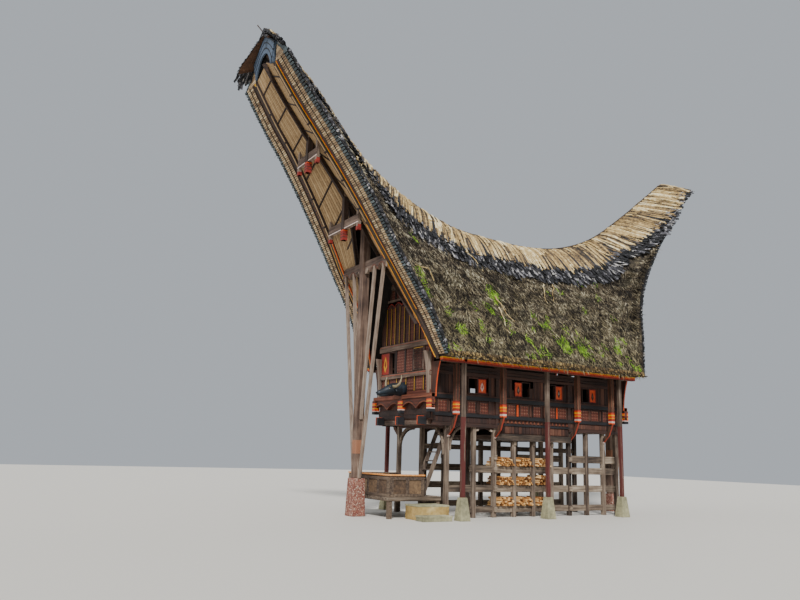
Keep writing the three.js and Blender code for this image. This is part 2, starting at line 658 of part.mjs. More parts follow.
// Upper gable wall under the roof, its top flattened under the ridge beam
function gablePeak(end) {
  const span = gableSpan(end);
  const apex = Math.min(...span.map(atticTop));
  const fall = (apex - EAVE_Z) / (innerHalf(0) - RIDGE_BEAM_HALF);
  const heightAt = (x) => apex - (x - RIDGE_BEAM_HALF) * fall - 2 * GAP;
  const top = apex - RIDGE_BEAM_DEPTH - 3 * GAP;
  const topHalf = RIDGE_BEAM_HALF + RIDGE_BEAM_DEPTH / fall;
  const side = [
    [GABLE_HALF_WIDTH, GABLE_WALL_SPLIT],
    [GABLE_HALF_WIDTH, heightAt(GABLE_HALF_WIDTH)],
    [topHalf, top],
  ];
  const outline = [...side, ...side.map(([x, z]) => [-x, z]).reverse()];
  const panel = plateAcross(outline, span);
  const beamSpan = end === 'front'
    ? [span[0] - SCALLOPED_BEAM.proud, span[0] + 10]
    : [span[1] - 10, span[1] + SCALLOPED_BEAM.proud];
  return fuse(panel, plateAcross(scallops(SCALLOPED_BEAM), beamSpan));
}

/** A board outline with a row of hanging scallops, from -half to half in x. */
function scallops({ half, z: [z0, z1], count }) {
  const outline = [[half, z1], [-half, z1]];
  const pitch = (2 * half) / count;
  const depth = (z1 - z0) * 0.45;
  for (let i = 0; i < count; i += 1) {
    const start = -half + i * pitch;
    for (let k = 0; k <= 4; k += 1) {
      const arch = Math.sin((Math.PI * k) / 4);
      if (k > 0 || i === 0) outline.push([start + (pitch * k) / 4, z0 + depth * arch]);
    }
  }
  return outline;
}

// Scalloped apron along the foot of a gable wall, with its short hanging posts
function apron(end) {
  const outward = end === 'front' ? -1 : 1;
  const wallFace = end === 'front' ? FRONT_WALL_Y : REAR_WALL_Y;
  const span = [wallFace, wallFace + outward * APRON.depth].sort((a, b) => a - b);
  const board = plateAcross(scallops(APRON), span);
  const hangerSpan = [wallFace, wallFace + outward * APRON_HANGER.depth].sort((a, b) => a - b);
  const half = APRON_HANGER.width / 2;
  const hangers = APRON_HANGER.x.map((x) => block([x - half, x + half], hangerSpan, APRON_HANGER.z));
  return fuse(board, ...hangers);
}

['front', 'rear'].forEach((end) => {
  add(`${end}_wall`, gableWall(end), 'carved');
  add(`${end}_gable_peak`, gablePeak(end), 'carved');
  add(`${end}_apron`, apron(end), 'carved');
});

// Floors of the three rooms, the middle one lower, between the walls
const FLOOR_HALF = SIDE_WALL_X - WALL_THICKNESS;
const floorSlab = (span, top) => block([-FLOOR_HALF, FLOOR_HALF], span, [top - FLOOR_THICKNESS, top]);
const hatch = block(HATCH.x, HATCH.y, [0, WALL_TOP]);
const joistSpan = [FRONT_WALL_Y - JOIST_END.proud, FRONT_WALL_Y + JOIST_END.tail];
const joistEnds = JOIST_END.x.map((x) => (
  block([x - JOIST_END.width / 2, x + JOIST_END.width / 2], joistSpan, [END_WALL_BOTTOM, END_ROOM_FLOOR])
));
const frontSlab = cut(floorSlab([FRONT_WALL_Y, MIDDLE_ROOM[0]], END_ROOM_FLOOR), hatch);
add('front_floor', fuse(frontSlab, ...joistEnds), 'wood');
add('middle_floor', floorSlab(MIDDLE_ROOM, MIDDLE_ROOM_FLOOR), 'wood');
add('rear_floor', floorSlab([MIDDLE_ROOM[1], REAR_WALL_Y], END_ROOM_FLOOR), 'wood');

/** Height of the floor structure over the post at y. */
function postTop(y) {
  const inMiddle = y > MIDDLE_ROOM[0] && y < MIDDLE_ROOM[1];
  return inMiddle ? MIDDLE_WALL_BOTTOM : END_WALL_BOTTOM;
}

// One long row of posts with the rails through them
function postFrame() {
  const posts = POST_Y.map((y) => post(POST_ROW_X, y, POST, 0, postTop(y)));
  const railX = [POST_ROW_X - RAIL_THICKNESS / 2, POST_ROW_X + RAIL_THICKNESS / 2];
  const rail = (y0, y1, span) => block(railX, [y0, y1], span);
  const [first, last] = [POST_Y[1] - POST, POST_Y[POST_Y.length - 1]];
  const rails = RAILS.map((span) => rail(span === RAILS[1] ? POST_Y[0] : first, last, span));
  return fuse(...posts, ...rails, rail(MIDDLE_ROOM[1], last, REAR_RAIL));
}
addPair('post_frame', postFrame(), 'wood');

// Middle row of posts with the thicker navel post at the centre, and the tie through them
function middleRow() {
  const posts = MIDDLE_POST_Y.map((y) => post(0, y, POST, 0, postTop(y)));
  const tieX = [-RAIL_THICKNESS / 2, RAIL_THICKNESS / 2];
  const tie = block(tieX, [MIDDLE_POST_Y[0], MIDDLE_POST_Y[3]], MIDDLE_TIE);
  return fuse(post(0, 0, NAVEL_POST, 0, MIDDLE_WALL_BOTTOM), ...posts, tie);
}
add('middle_post_row', middleRow(), 'wood');

// Eave beam with its outriggers on the wall, the hanging posts and the braces back to the post frame
function eaveFrame() {
  const beamSpan = [FRONT_CORNER_Y + 50, REAR_CORNER_Y - 50];
  const beam = block(EAVE_BEAM_X, beamSpan, [EAVE_Z - EAVE_BEAM_HEIGHT, EAVE_Z]);
  const armX = [SIDE_WALL_X - WALL_THICKNESS, EAVE_BEAM_X[0] + 50];
  const arms = [...HANGING_POST_Y, COLUMN_Y[1]].map((y) => (
    block(armX, [y - OUTRIGGER / 2, y + OUTRIGGER / 2], [WALL_TOP, EAVE_Z - 10])
  ));
  const hangers = HANGING_POST_Y.map((y) => (
    post(HANGING_POST_X, y, HANGING_POST, HANGING_POST_FOOT, WALL_TOP + 50)
  ));
  const seat = POST_ROW_X + POST / 2 + GAP;
  const half = HANGING_POST / 2;
  const head = HANGING_POST_FOOT + 20;
  const outline = [
    [seat, BRACE.footZ[0]], [HANGING_POST_X - 150, 3050], [HANGING_POST_X + half, head],
    [HANGING_POST_X - half, head], [HANGING_POST_X - 300, 3200], [seat, BRACE.footZ[1]],
  ];
  const braces = HANGING_POST_Y.map((y) => (
    plateAcross(outline, [y - BRACE.thickness / 2, y + BRACE.thickness / 2])
  ));
  return fuse(beam, ...arms, ...hangers, ...braces);
}
addPair('eave_frame', eaveFrame(), 'wood');

COLUMN_Y.forEach((y, i) => {
  const top = EAVE_Z - EAVE_BEAM_HEIGHT;
  addPair(`eave_column_${i + 1}`, post(COLUMN_X, y, COLUMN, COLUMN_BASE.height, top), 'wood');
  addPair(`column_base_${i + 1}`, frustum(COLUMN_X, y, COLUMN_BASE), 'concrete');
});

/** A great post from its pedestal up to the ridge beam or the soffit, with a slot for the yoke. */
function greatPost(end, y, pedestal, yokeZ) {
  const shaft = post(0, y, GREAT_POST, pedestal.height, 13000);
  const slot = block([-GREAT_POST, GREAT_POST], [y - YOKE_THICKNESS / 2, y + YOKE_THICKNESS / 2], yokeZ);
  return cut(shaft, slot, overRidgeBeam(), hornFilling(end));
}

/** The scalloped yoke through a great post, with two pairs of stays down to the post and its pedestal. */
function yoke(end, y, pedestal, { half, z }) {
  const outline = scallops({ half, z, count: YOKE_SCALLOPS }).map(([x, height]) => (
    Math.abs(x) < GREAT_POST ? [x, height === z[1] ? height : z[0]] : [x, height]
  ));
  const span = [y - YOKE_THICKNESS / 2, y + YOKE_THICKNESS / 2];
  const board = cut(plateAcross(outline, span), hornFilling(end));
  const stay = (top, foot) => bar([top[0], y, top[1]], [foot[0], y, foot[1]], STAY_WIDTH, STAY_WIDTH);
  const clear = GREAT_POST / 2 + GAP;
  const trimAt = (geometry) => cut(
    geometry,
    block([-clear, clear], [y - 500, y + 500], [0, z[0] - 10]),
    block([-2000, 2000], [y - 500, y + 500], [0, pedestal.height]),
  );
  const head = z[0] + STAY_TENON;
  const outerFootZ = pedestal.height - STAYS.outerFootSunk;
  const stays = [1, -1].flatMap((side) => [
    stay([side * (half - STAYS.outerInset), head], [side * STAYS.outerFootX, outerFootZ]),
    stay([side * (half / 2), head], [side * STAYS.innerFootX, STAYS.innerFootZ]),
  ]);
  return fuse(board, ...stays.map(trimAt));
}

/** A cross beam under a horn: its board, the king post and two end struts up to the soffit. */
function crossBeam(end, { y, z, half }) {
  const { thickness, height } = CROSS_BEAM;
  const span = [y - thickness / 2, y + thickness / 2];
  const board = block([-half, half], span, [z - height / 2, z + height / 2]);
  const reach = 2000;
  const kingPost = post(0, y, KING_POST.width, z - KING_POST.drop, z + reach);
  const struts = [-1, 1].map((side) => (
    post(side * (half - END_STRUT.inset), y, END_STRUT.width, z - END_STRUT.drop, z + reach)
  ));
  return cut(fuse(board, kingPost, ...struts), hornFilling(end));
}

add('front_great_post', greatPost('front', FRONT_GREAT_POST_Y, FRONT_PEDESTAL, YOKES.front.z), 'wood');
add('rear_great_post', greatPost('rear', REAR_GREAT_POST_Y, REAR_PEDESTAL, YOKES.rear.z), 'wood');
add('front_pedestal', frustum(0, FRONT_GREAT_POST_Y, FRONT_PEDESTAL), 'render');
add('rear_pedestal', frustum(0, REAR_GREAT_POST_Y, REAR_PEDESTAL), 'render');
add('front_yoke', yoke('front', FRONT_GREAT_POST_Y, FRONT_PEDESTAL, YOKES.front), 'pale');
add('rear_yoke', yoke('rear', REAR_GREAT_POST_Y, REAR_PEDESTAL, YOKES.rear), 'pale');
Object.entries(CROSS_BEAMS).forEach(([place, beam]) => {
  add(`${place}_cross_beam`, crossBeam(place.split('_')[0], beam), 'wood');
});

// Entrance deck on its legs, with a board railing round three sides and the gap at the steps
function deck() {
  const { halfWidth, front, back, bottom, top, leg, legInset } = DECK;
  const slab = block([-halfWidth, halfWidth], [front, back], [bottom, top]);
  const legs = [-1, 1].flatMap((side) => [front + legInset, back - legInset].map((y) => (
    post(side * (halfWidth - leg / 2 - 30), y, leg, 0, bottom + 20)
  )));
  return fuse(slab, ...legs);
}
function deckRailing() {
  const { halfWidth, front, back } = DECK;
  const { thickness, stepGapY } = DECK_RAILING;
  const z = [DECK.top, DECK_RAILING.top];
  return fuse(
    block([-halfWidth, halfWidth], [front, front + thickness], z),
    block([halfWidth - thickness, halfWidth], [front, stepGapY], z),
    block([-halfWidth, thickness - halfWidth], [front, back], z),
  );
}
add('entrance_deck', deck(), 'wood');
add('deck_railing', deckRailing(), 'wood');
add('upper_step', block(UPPER_STEP.x, UPPER_STEP.y, UPPER_STEP.z), 'concrete');
add('lower_step', block(LOWER_STEP.x, LOWER_STEP.y, LOWER_STEP.z), 'concrete');

// Steep stair from the deck to the hatch in the front floor
function stair() {
  const { x: [x0, x1], string, depth, footY, headY } = STAIR;
  const lean = (headY - footY) / (END_WALL_BOTTOM - DECK.top);
  const outline = [
    [footY, DECK.top], [footY + depth, DECK.top], [headY + depth, END_WALL_BOTTOM], [headY, END_WALL_BOTTOM],
  ];
  const strings = [[x0, x0 + string], [x1 - string, x1]].map((span) => plateAlong(outline, span));
  const treads = Array.from({ length: TREADS.count }, (_, i) => {
    const z = DECK.top + (i + 1) * TREADS.rise;
    const y = footY + lean * (z - DECK.top);
    return block([x0 + 40, x1 - 40], [y + 10, y + depth - 10], [z - TREADS.thickness, z]);
  });
  return fuse(...strings, ...treads);
}
add('entrance_stair', stair(), 'wood');

// Carved buffalo head on the front wall: elliptical sections from the neck to the muzzle, and two horns
function buffaloHead() {
  const sides = 10;
  const skull = loft(HEAD_SECTIONS.map(([y, rx, rz, cz]) => {
    const outline = Array.from({ length: sides }, (_, i) => {
      const turn = (2 * Math.PI * i) / sides;
      return [rx * Math.cos(turn), cz + rz * Math.sin(turn)];
    });
    return { y, outline };
  }));
  const horn = (side) => {
    const curve = new THREE.CatmullRomCurve3(HORN_PATH.map(([x, y, z]) => new THREE.Vector3(side * x, y, z)));
    const section = new THREE.Shape().absarc(0, 0, HORN_RADIUS, 0, 2 * Math.PI);
    return new THREE.ExtrudeGeometry(section, { steps: 7, curveSegments: 4, extrudePath: curve });
  };
  return fuse(skull, horn(1), horn(-1));
}
add('buffalo_head', buffaloHead(), 'horn');

export default house;
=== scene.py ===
"""A tongkonan, the saddle-roofed clan house of the Toraja highlands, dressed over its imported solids.

Metres, +Z up. X = 0 is the ridge plane, the entrance gable faces -Y, and the origin lies at ground
level under the navel post.
"""
import logging
import math
import random
from collections.abc import Iterable, Sequence
from dataclasses import dataclass, field
from enum import Enum
from functools import cached_property

import bmesh
import bpy
import numpy as np
from mathutils import Matrix, Vector, noise


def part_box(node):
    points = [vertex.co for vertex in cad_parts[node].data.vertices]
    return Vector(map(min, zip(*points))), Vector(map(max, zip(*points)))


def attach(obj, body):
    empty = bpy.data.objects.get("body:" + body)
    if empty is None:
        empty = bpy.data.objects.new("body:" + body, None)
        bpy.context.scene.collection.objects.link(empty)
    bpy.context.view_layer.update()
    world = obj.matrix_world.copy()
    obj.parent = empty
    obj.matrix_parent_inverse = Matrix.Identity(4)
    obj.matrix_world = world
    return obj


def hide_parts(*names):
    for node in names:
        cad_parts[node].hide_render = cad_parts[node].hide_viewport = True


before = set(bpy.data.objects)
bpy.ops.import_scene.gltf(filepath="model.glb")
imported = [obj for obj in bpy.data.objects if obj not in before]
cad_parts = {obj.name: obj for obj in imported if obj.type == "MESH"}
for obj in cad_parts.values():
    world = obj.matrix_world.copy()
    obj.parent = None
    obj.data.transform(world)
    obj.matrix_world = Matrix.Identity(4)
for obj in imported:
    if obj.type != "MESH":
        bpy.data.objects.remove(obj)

log = logging.getLogger("tongkonan")
Table = tuple[tuple[float, float], ...]
Point = tuple[float, float, float]


class End(Enum):
    """The two gable ends of the house, by the direction that faces away from it along Y."""

    FRONT = -1
    REAR = 1


class Side(Enum):
    """The two long sides of the house, by their direction along X."""

    RIGHT = 1
    LEFT = -1


class Grain(Enum):
    """The way that wood grain or bamboo fibre runs, as cycles a metre along X, Y and Z."""

    ALONG_X = (0.9, 16.0, 16.0)
    ALONG_Y = (16.0, 0.9, 16.0)
    ALONG_Z = (16.0, 16.0, 0.9)
    EVEN = (9.0, 9.0, 9.0)


def linear(colour: str) -> tuple[float, float, float, float]:
    """Turn an sRGB hex colour into linear values.

    Args:
        colour: Six hex digits after a hash sign.

    Returns:
        Linear red, green and blue, and alpha 1.
    """
    parts = [int(colour[i : i + 2], 16) / 255 for i in (1, 3, 5)]
    red, green, blue = (c / 12.92 if c <= 0.04045 else ((c + 0.055) / 1.055) ** 2.4 for c in parts)
    return red, green, blue, 1.0


def place(
    tree: bpy.types.NodeTree, kind: str, links: dict | None = None, **settings: object
) -> bpy.types.Node:
    """Add a node with its settings, values and incoming links.

    Args:
        tree: The shader or geometry tree that gets the node.
        kind: The node's type name.
        links: Input name or index to an output socket, a node with one output, or a plain value.
        settings: Properties of the node itself.

    Returns:
        The new node.
    """
    made = tree.nodes.new(kind)
    for key, value in settings.items():
        setattr(made, key, value)
    for key, value in (links or {}).items():
        if isinstance(value, bpy.types.Node):
            value = value.outputs[0]
        if isinstance(value, bpy.types.NodeSocket):
            tree.links.new(value, made.inputs[key])
        else:
            made.inputs[key].default_value = value
    return made


def about(middle: float, reach: float) -> tuple[float, float]:
    """The two ends of a span that reaches as far to both sides of its middle."""
    return middle - reach, middle + reach


def stand(name: str, data: bpy.types.ID) -> bpy.types.Object:
    """Make an object of some data and link it to the scene.

    Args:
        name: Name of the object.
        data: Its mesh, light or camera data.

    Returns:
        The object.
    """
    made = bpy.data.objects.new(name, data)
    bpy.context.scene.collection.objects.link(made)
    return made


def smooth(table: Table, samples: int = 90) -> np.ndarray:
    """Run a uniform Catmull-Rom curve through a table of pairs.

    Args:
        table: The pairs that the curve passes through.
        samples: How many steps the curve is cut into.

    Returns:
        An array of samples + 1 pairs.
    """
    points = np.array(table, dtype=float)
    last = len(points) - 1
    t = np.linspace(0, last, samples + 1)
    index = np.minimum(t.astype(int), last)
    w = (t - index)[:, None]
    p0, p1, p2, p3 = (points[np.clip(index + k, 0, last)] for k in (-1, 0, 1, 2))
    v0, v1 = (p2 - p0) / 2, (p3 - p1) / 2
    return (2 * p1 - 2 * p2 + v0 + v1) * w**3 + (-3 * p1 + 3 * p2 - 2 * v0 - v1) * w**2 + v0 * w + p1


@dataclass(frozen=True)
class RoofForm:
    """The saddle roof's shape: its skyline, its two rakes, and its half widths."""

    ridge_line: Table = (
        (-11.1, 16.42), (-9.5, 15.1), (-8.0, 13.4), (-6.6, 12.2), (-5.0, 11.35), (-3.2, 10.75), (-1.2, 10.58),
        (0.8, 10.58), (2.6, 10.87), (4.4, 11.6), (6.2, 12.85), (8.0, 14.25), (9.15, 15.19),
    )
    front_rake: Table = (
        (-11.23, 15.05), (-10.28, 13.66), (-9.47, 12.6), (-8.5, 11.2), (-7.69, 9.92), (-7.0, 8.75),
        (-5.9, 6.95), (-5.41, 5.72), (-5.25, 5.35),
    )
    rear_rake: Table = (
        (4.05, 5.35), (4.28, 6.26), (4.5, 7.3), (4.7, 8.3), (4.95, 9.0), (5.46, 9.95), (6.29, 11.14),
        (7.15, 12.09), (8.06, 13.2), (9.25, 14.37),
    )
    outer_half_width: Table = (
        (5.35, 2.97), (6.9, 2.69), (7.6, 2.54), (8.7, 2.42), (10.7, 2.3), (12.1, 2.15), (13.7, 2.0),
        (15.05, 1.87),
    )
    rear_outer_half_width: Table = (
        (5.35, 2.97), (6.9, 2.69), (7.6, 2.54), (8.7, 2.4), (10.7, 2.2), (12.1, 1.95), (13.7, 1.65),
        (14.5, 1.5),
    )
    inner_half_width: Table = (
        (5.35, 2.25), (6.1, 2.04), (6.8, 1.82), (7.3, 1.71), (8.6, 1.57), (9.3, 1.45), (10.5, 1.28),
        (11.7, 1.12), (12.6, 1.0), (13.8, 0.91), (15.1, 0.8),
    )
    slope_bulge: Table = ((-11.1, 0.85), (-7.6, 0.72), (-5.25, 0.62), (4.05, 0.62), (5.6, 0.72), (9.2, 0.85))
    cap_half_width: Table = (
        (-11.5, 1.75), (-10.8, 1.3), (-9.8, 0.95), (-8.0, 0.9), (-6.5, 1.0), (-5.0, 1.1), (2.0, 1.1),
        (4.2, 1.15), (5.0, 1.4), (5.8, 1.56), (6.6, 1.65), (7.8, 1.72), (9.2, 1.75),
    )
    soffit_rise_by_rake: Table = (
        (5.35, 0.02), (6.7, 0.03), (7.2, 0.14), (8.75, 0.82), (9.0, 1.0), (9.68, 1.19), (12.57, 0.52),
        (15.05, 0.37),
    )
    soffit_opening_by_rake: Table = (
        (5.35, 2.15), (6.2, 1.86), (6.7, 1.6), (7.2, 1.37), (8.75, 0.5), (9.0, 0.35), (9.68, -0.03),
        (15.05, -0.03),
    )
    eave: float = 5.35
    front_end: float = -11.1
    rear_end: float = 9.2
    front_corner: float = -5.25
    rear_corner: float = 4.05
    cap_thickness: float = 0.15
    thatch_at_ridge: float = 0.7
    thatch_share: float = 0.35
    beam_depth: float = 0.24
    beam_last: float = 7.7
    lump_depth: float = 0.065

    @cached_property
    def curves(self) -> dict[str, np.ndarray]:
        """The smoothed tables by name.

        Returns:
            Rows of place and value by the table's name.
        """
        names = (
            "ridge_line", "front_rake", "rear_rake", "outer_half_width", "rear_outer_half_width",
            "inner_half_width", "slope_bulge", "cap_half_width",
        )
        return {name: smooth(getattr(self, name)) for name in names}

    def along(self, name: str, t: np.ndarray) -> np.ndarray:
        """Read a smoothed table at t."""
        curve = self.curves[name]
        return np.interp(t, curve[:, 0], curve[:, 1])

    def top(self, y: np.ndarray) -> np.ndarray:
        """Height of the thatch at the ridge."""
        return self.along("ridge_line", y) - self.cap_thickness

    def low(self, y: np.ndarray) -> np.ndarray:
        """Height of the roof's lower edge: the eave, and the rakes beyond its corners.

        Args:
            y: Where along the house.

        Returns:
            The heights.
        """
        y = np.asarray(y, dtype=float)
        front, rear = self.along("front_rake", y), self.along("rear_rake", y)
        return np.where(y < self.front_corner, front, np.where(y > self.rear_corner, rear, self.eave))

    def outer(self, y: np.ndarray) -> np.ndarray:
        """Half width at the lower edge, to the outer face of the thatch.

        Args:
            y: Where along the house.

        Returns:
            The half widths.
        """
        low = self.low(y)
        front, rear = self.along("outer_half_width", low), self.along("rear_outer_half_width", low)
        return np.where(np.asarray(y) < 0, front, rear)

    def inner(self, y: np.ndarray) -> np.ndarray:
        """Half width at the lower edge, to the inner side of the rim."""
        low = self.low(y)
        return self.along("inner_half_width", low) * self.outer(y) / self.along("outer_half_width", low)

    def face(self, y: np.ndarray, x: np.ndarray) -> np.ndarray:
        """Height of the outer face of the thatch at a distance x from the ridge plane."""
        top = self.top(y)
        return top - (top - self.low(y)) * (x / self.outer(y)) ** (1 / self.along("slope_bulge", y))

    def lump(self, y: np.ndarray, x: np.ndarray) -> np.ndarray:
        """Distance of the thatch's broad lumps from its face, at x from the ridge plane.

        Args:
            y: Where along the house.
            x: Distance from the ridge plane.

        Returns:
            Metres outward from the face.
        """
        cap, outer = self.cap_half(y), self.outer(y)
        share = np.clip((x - cap) / (outer - cap), 0.0, 1.0)
        fade = np.clip(np.minimum(y - self.front_end, self.rear_end - y) / 0.9, 0.0, 1.0)
        wave = np.sin(2.4 * y + 2 * np.sin(5 * share)) * np.sin(9 * share + 1.5 * np.sin(1.3 * y))
        return self.lump_depth * fade * np.sqrt(np.abs(np.sin(math.pi * share))) * wave

    def attic(self, y: np.ndarray) -> np.ndarray:
        """Height of the inner face of the thatch at the ridge."""
        top = self.top(y)
        return top - np.minimum(self.thatch_at_ridge, self.thatch_share * (top - self.low(y)))

    def soffit(self, y: np.ndarray, share: float) -> tuple[np.ndarray, np.ndarray]:
        """Read a point of the soffit's underside.

        Args:
            y: Where along the house.
            share: 0 at the rim and 1 at the inner rib.

        Returns:
            The x and z of the point.
        """
        low = self.low(y)
        beam = np.where(np.asarray(y) < self.beam_last, self.beam_depth, 0.0)
        room = self.attic(y) - beam - 0.09 - low
        rise_curve = np.array(self.soffit_rise_by_rake)
        rise = np.minimum(np.interp(low, rise_curve[:, 0], rise_curve[:, 1]), room)
        outer_x = self.inner(y) - 0.045
        opening = np.array(self.soffit_opening_by_rake)
        inner_x = np.minimum(np.interp(low, opening[:, 0], opening[:, 1]), outer_x - 0.14)
        return outer_x + (inner_x - outer_x) * share, low + rise * share

    def cap_half(self, y: np.ndarray) -> np.ndarray:
        """Half width of the bamboo cap over the ridge."""
        return np.minimum(self.along("cap_half_width", y), self.outer(y) * 0.92)

    def rake(self, end: End, upto: float, spacing: float = 0.12) -> np.ndarray:
        """Sample the y values of one rake evenly along its length.

        Args:
            end: Which gable.
            upto: Height of the rake where the run stops, measured down from the tip.
            spacing: Distance between samples.

        Returns:
            The y values from the tip down to the eave corner.
        """
        front = end is End.FRONT
        tip = self.front_end if front else self.rear_end
        corner = self.front_corner if front else self.rear_corner
        y = np.linspace(tip, corner + end.value * 0.001, 400)
        y = y[self.low(y) >= upto]
        steps = np.hypot(np.diff(y), np.diff(self.low(y)))
        length = np.concatenate([[0], np.cumsum(steps)])
        return np.interp(np.linspace(0, length[-1], max(3, int(length[-1] / spacing))), length, y)


@dataclass
class Draft:
    """A mesh under construction: corners, faces and a tone from 0 to 1 for each corner."""

    corners: list[Point] = field(default_factory=list)
    faces: list[tuple[int, ...]] = field(default_factory=list)
    tones: list[float] = field(default_factory=list)
    rng: random.Random = field(default_factory=lambda: random.Random(7))

    def add(
        self, corners: Iterable[Sequence[float]], faces: Iterable[Sequence[int]], tone: float | None = None
    ) -> None:
        """Append a body with a tone of its own, drawn at random where none is given.

        Args:
            corners: The body's corners.
            faces: Its faces, by index into the corners.
            tone: Its tone from 0 to 1, drawn at random where none is given.
        """
        start = len(self.corners)
        points = [tuple(float(v) for v in c) for c in corners]
        shade = self.rng.random() if tone is None else tone
        self.corners.extend(points)
        self.tones.extend([shade] * len(points))
        self.faces.extend(tuple(start + i for i in f) for f in faces)

    def box(
        self, x: Sequence[float], y: Sequence[float], z: Sequence[float], tone: float | None = None
    ) -> None:
        """Add an upright box between two values on each axis.

        Args:
            x: Its two values along X.
            y: Its two values along Y.
            z: Its two values along Z.
            tone: Its tone from 0 to 1, drawn at random where none is given.
        """
        corners = [(x[i], y[j], z[k]) for i in (0, 1) for j in (0, 1) for k in (0, 1)]
        faces = [(0, 1, 3, 2), (4, 6, 7, 5), (0, 4, 5, 1), (2, 3, 7, 6), (0, 2, 6, 4), (1, 5, 7, 3)]
        self.add(corners, faces, tone)

    def bar(self, start: Point, stop: Point, width: float, depth: float, tone: float | None = None) -> None:
        """Add a square bar between two points, its width as near level as it goes.

        Args:
            start: Middle of one end.
            stop: Middle of the other end.
            width: Its level width.
            depth: Its depth.
            tone: Its tone from 0 to 1, drawn at random where none is given.
        """
        a, b = Vector(start), Vector(stop)
        axis = (b - a).normalized()
        level = Vector((0, 0, 1)).cross(axis)
        side = level.normalized() if level.length > 1e-4 else Vector((1, 0, 0))
        up = axis.cross(side)
        rings = [
            [
                p + side * (u * width / 2) + up * (v * depth / 2)
                for u, v in ((-1, -1), (1, -1), (1, 1), (-1, 1))
            ]
            for p in (a, b)
        ]
        self.loft([[tuple(c) for c in ring] for ring in rings], tone)

    def loft(
        self, rings: Sequence[Sequence[Sequence[float]]], tone: float | None = None, closed: bool = False
    ) -> None:
        """Add a skin through rings of equal point count.

        Args:
            rings: The rings in order, each a closed loop of points.
            tone: The body's tone.
            closed: Whether the last ring joins the first, as in a hoop, so that no end is capped.
        """
        count = len(rings[0])
        corners = [p for ring in rings for p in ring]
        pairs = [(k, k + 1) for k in range(len(rings) - 1)] + ([(len(rings) - 1, 0)] if closed else [])
        faces = [
            (a * count + j, b * count + j, b * count + (j + 1) % count, a * count + (j + 1) % count)
            for a, b in pairs
            for j in range(count)
        ]
        if not closed:
            faces.append(tuple(range(count)))
            faces.append(tuple(reversed(range((len(rings) - 1) * count, len(rings) * count))))
        self.add(corners, faces, tone)

    def prism(
        self, outline: Sequence[tuple[float, float]], span: Sequence[float], axis: int,
        tone: float | None = None,
    ) -> None:
        """Add a plate with an outline on two axes, between two values on the third.

        Args:
            outline: The corners, on the two other axes in the order X, Y, Z.
            span: The plate's two faces along its axis.
            axis: 0, 1 or 2 for X, Y or Z.
            tone: The body's tone.
        """
        def lift(pair: tuple[float, float], at: float) -> Point:
            """Set a pair of values on the other two axes at a value on this one."""
            values = list(pair)
            values.insert(axis, at)
            return tuple(values)

        self.loft([[lift(p, at) for p in outline] for at in span], tone)

    def tube(
        self, path: Sequence[Point], radii: Sequence[float], sides: int = 8, tone: float | None = None
    ) -> None:
        """Add a round rod along a path with a radius at each of its points.

        Args:
            path: Its middle line.
            radii: Its radius at each point.
            sides: Number of sides of its section.
            tone: Its tone from 0 to 1, drawn at random where none is given.
        """
        points = [Vector(p) for p in path]
        rings = []
        across = Vector((0.31, 0.27, 0.91))
        for k, point in enumerate(points):
            run = (points[min(k + 1, len(points) - 1)] - points[max(k - 1, 0)]).normalized()
            across = (across - run * across.dot(run)).normalized()
            other = run.cross(across)
            turns = [2 * math.pi * i / sides for i in range(sides)]
            rings.append(
                [tuple(point + (across * math.cos(t) + other * math.sin(t)) * radii[k]) for t in turns]
            )
        self.loft(rings, tone)

    def mirrored(self) -> "Draft":
        """The same bodies on both sides of the ridge plane.

        Returns:
            The mesh and its mirror image.
        """
        both = Draft(list(self.corners), list(self.faces), list(self.tones))
        start = len(self.corners)
        both.corners.extend((-x, y, z) for x, y, z in self.corners)
        both.faces.extend(tuple(start + i for i in reversed(f)) for f in self.faces)
        both.tones.extend(self.tones)
        return both

    def mesh(self, name: str) -> bpy.types.Mesh:
        """Turn the draft into a mesh with its faces outward and its tones as a point attribute.

        Args:
            name: Name of the mesh.

        Returns:
            The mesh, with its tones as an attribute.
        """
        made = bpy.data.meshes.new(name)
        made.from_pydata(self.corners, [], self.faces)
        tone = made.attributes.new("tone", "FLOAT", "POINT")
        tone.data.foreach_set("value", self.tones)
        shell = bmesh.new()
        shell.from_mesh(made)
        bmesh.ops.recalc_face_normals(shell, faces=shell.faces)
        shell.to_mesh(made)
        shell.free()
        return made


def settle(made: bpy.types.Object, stands_for: Sequence[str] = ()) -> bpy.types.Object:
    """Give a finished piece its body and the solids that it stands for.

    Args:
        made: The finished piece.
        stands_for: Nodes that the piece replaces.

    Returns:
        The same piece.
    """
    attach(made, "root")
    if stands_for:
        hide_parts(*stands_for)
    return made


def piece(
    name: str,
    mesh: bpy.types.Mesh,
    finish: "Finish",
    stands_for: Sequence[str] = (),
    bevel: float = 0.0,
) -> bpy.types.Object:
    """Make an object of a mesh, with softened edges where asked, and settle it.

    Args:
        name: The piece's name.
        mesh: Its mesh, already in place.
        finish: What it is made of.
        stands_for: Nodes that the piece replaces.
        bevel: Width of the softened edges in metres, or 0.

    Returns:
        The new object.
    """
    made = stand(name, mesh)
    mesh.materials.clear()
    mesh.materials.append(finish.material())
    if bevel:
        edge = made.modifiers.new("worn_edges", "BEVEL")
        edge.width = bevel
        edge.segments = 2
        edge.limit_method = "ANGLE"
        edge.angle_limit = math.radians(40)
    log.info("%s: %d faces", name, len(mesh.polygons))
    return settle(made, stands_for)


def smooth_sides(made: bpy.types.Object) -> None:
    """Shade the four-sided faces round and keep the end caps flat."""
    for polygon in made.data.polygons:
        polygon.use_smooth = len(polygon.vertices) == 4


